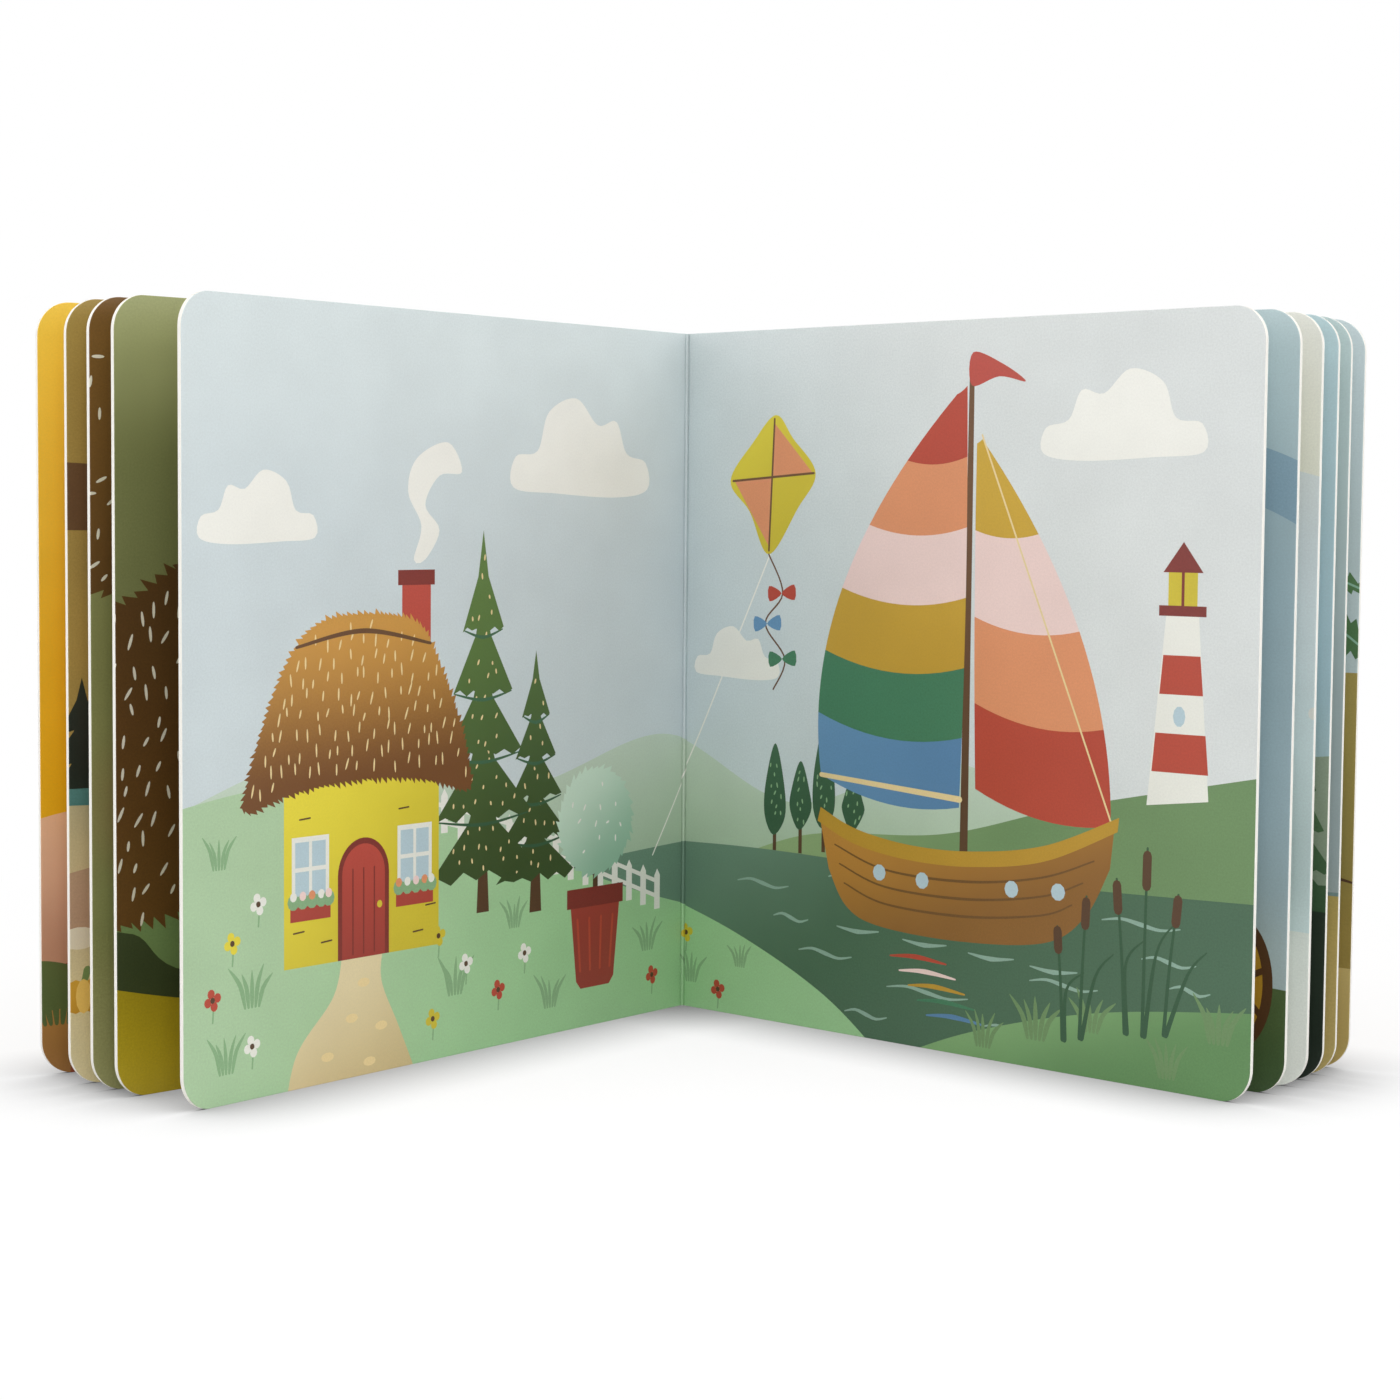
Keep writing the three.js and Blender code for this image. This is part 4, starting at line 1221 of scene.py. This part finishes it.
for cover in (front, back):
    section = ([(LOOSE_FROM, 0), (GROOVE_RUN, 0)], [(LOOSE_FROM, BACK)])
    sheet = Page(cover.side, section, STRIP / 2 + LOOSE_FROM)
    flat, inks = sheet.print_face([(ochre, box(-2 * PAGE, -5, 2 * PAGE, PAGE + 5))])
    sheet.close(flat)
    glued = sheet.build(f"{cover.name}_sheet", cover.fold, cover.leaf.along, cover.out, [board] + inks)
    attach(glued, cover.name)
    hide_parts(cover.name)

    # Half of the strip: from the cover round the crease and along the bow to its middle.
    def bow(angle):
        sideways = cover.side * math.sin(angle) * chord.normalized()
        return bow_centre + bow_radius * (math.cos(angle) * outwards - sideways)

    joins = half_angle - (LOOSE_FROM - CREASE_AT) / bow_radius
    leaving = cover.fold + LOOSE_FROM * cover.leaf.along + BACK / 2 * cover.out
    middle = []
    for step in range(CREASE_STEPS):
        t = step / CREASE_STEPS
        middle.append(leaving.lerp(cover.crease, t).lerp(cover.crease.lerp(bow(joins), t), t))
    middle += [bow(joins * (1 - step / BOW_STEPS)) for step in range(BOW_STEPS + 1)]
    strip = Sheet(cover.side)
    rows = []
    run = STRIP / 2 + LOOSE_FROM
    for i, point in enumerate(middle):
        ahead = (middle[min(i + 1, len(middle) - 1)] - middle[max(i - 1, 0)]).normalized()
        if i == 0:
            ahead = -cover.leaf.along
        outside = cover.side * Vector((-ahead.y, ahead.x, 0))
        run -= (point - middle[i - 1]).length if i else 0
        row = []
        for y, off in ((0, 1), (PAGE, 1), (PAGE, -1), (0, -1)):
            local = point - cover.fold - off * BACK / 2 * outside
            row.append(strip.point(local.dot(cover.leaf.along), local.dot(cover.out), y, run))
        rows.append(row)
    for k, (before, after) in enumerate(zip(rows, rows[1:])):
        for edge, (slot, left, right, low, high) in enumerate(STRIP_SIDES):
            turn_at = (edge + 1) % 4
            near = left + k / len(middle) * (right - left)
            far = left + (k + 1) / len(middle) * (right - left)
            corners = [before[edge], before[turn_at], after[turn_at], after[edge]]
            strip.face(corners, slot, map_corners(near, far, low, high))
    # Both ends stay hidden, on the cover and at the middle, and get small patches of the texture.
    strip.face(rows[0], 0, map_corners(0.97, 0.98, 0.01, 0.5))
    strip.face(rows[-1][::-1], 0, map_corners(0.97, 0.98, 0.51, 0.98))
    name = f"spine_{cover.name.removesuffix('_cover')}_half"
    half = strip.build(name, cover.fold, cover.leaf.along, cover.out, [board, ochre])
    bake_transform(half)
    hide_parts("spine")


# --- The table and the light ----------------------------------------------------------------------
# A matt white table top that runs on as a white backdrop. To the camera it mostly glows white, and near the
# book
# it has a painted shadow: an ambient-occlusion term darkens its colour, with a little real lamp-lit shading
# mixed in. It fades to plain white further out, under broad soft lights.
TABLE = 6000.0
bpy.ops.mesh.primitive_plane_add(size=TABLE * MM, location=(0, 0, 0))
table = bpy.context.object
table.name = "table"
white_top, tree, shader = surface("white_table_top")
# The book's contact shadow is painted: occlusion within 32 mm darkens the table's colour.
painted_contact_shadow = node(tree, "ShaderNodeAmbientOcclusion",
               {"Color": srgb("#ffffff"), "Distance": 32 * MM, "samples": 16})
tree.links.new(painted_contact_shadow.outputs["Color"], shader.inputs["Base Color"])
shader.inputs["Roughness"].default_value = 0.9
shader.inputs["Specular IOR Level"].default_value = 0
place = node(tree, "ShaderNodeTexCoord", {}).outputs["Object"]
reach = node(tree, "ShaderNodeVectorMath", {"operation": "LENGTH"}, i0=place).outputs["Value"]
fade = node(tree, "ShaderNodeMapRange",
            {"From Min": 200 * MM, "From Max": 400 * MM, "To Min": 0.8}, Value=reach).outputs["Result"]
# Most of the table glows with that colour, painted shadow and all.
glow_with_painted_shadow = node(tree, "ShaderNodeEmission", {"Strength": 1.0}, Color=painted_contact_shadow.outputs["Color"])
faded = node(tree, "ShaderNodeMixShader", {}, i0=fade, i1=shader.outputs[0], i2=glow_with_painted_shadow.outputs[0])
dull = node(tree, "ShaderNodeBsdfDiffuse", {"Color": (0.7, 0.7, 0.7, 1)})
ray = node(tree, "ShaderNodeLightPath", {})
chosen = node(tree, "ShaderNodeMixShader", {},
              i0=ray.outputs["Is Camera Ray"], i1=dull.outputs[0], i2=faded.outputs[0])
tree.links.new(chosen.outputs[0], tree.nodes["Material Output"].inputs["Surface"])
table.data.materials.append(white_top)

world = bpy.data.worlds.new("studio")
bpy.context.scene.world = world
world.use_nodes = True
tree = world.node_tree
seen = tree.nodes["Background"]
seen.inputs["Color"].default_value = (1, 1, 1, 1)
seen.inputs["Strength"].default_value = 1.0
lit = node(tree, "ShaderNodeBackground", {"Color": (1, 1, 1, 1), "Strength": 0.26})
ray = node(tree, "ShaderNodeLightPath", {})
chosen = node(tree, "ShaderNodeMixShader", {},
              i0=ray.outputs["Is Camera Ray"], i1=lit.outputs[0], i2=seen.outputs[0])
tree.links.new(chosen.outputs[0], tree.nodes["World Output"].inputs["Surface"])


def softbox(name, place, target, width, height, power):
    """A soft light that looks at its target. Places and sizes are in metres, the power in watts."""
    lamp = bpy.data.objects.new(name, bpy.data.lights.new(name, "AREA"))
    bpy.context.scene.collection.objects.link(lamp)
    lamp.location = place
    lamp.rotation_euler = (Vector(target) - Vector(place)).to_track_quat("-Z", "Y").to_euler()
    lamp.data.shape = "RECTANGLE"
    lamp.data.size = width
    lamp.data.size_y = height
    lamp.data.energy = power


softbox("overhead_softbox", (0.0, -0.25, 1.1), (0, 0.02, 0.1), 1.4, 0.8, 8.4)
softbox("front_softbox", (0.05, -1.9, 0.5), (0, 0, 0.09), 1.2, 0.7, 9.2)
softbox("left_softbox", (-1.1, -0.35, 0.45), (0.05, 0, 0.09), 0.7, 0.8, 4.5)
softbox("right_softbox", (1.1, -0.3, 0.45), (-0.05, 0, 0.09), 0.7, 0.8, 4.5)
softbox("back_softbox", (0, 1.8, 0.7), (0, 0, 0.09), 1.4, 0.8, 9.0)
bpy.context.scene.view_settings.view_transform = "Standard"
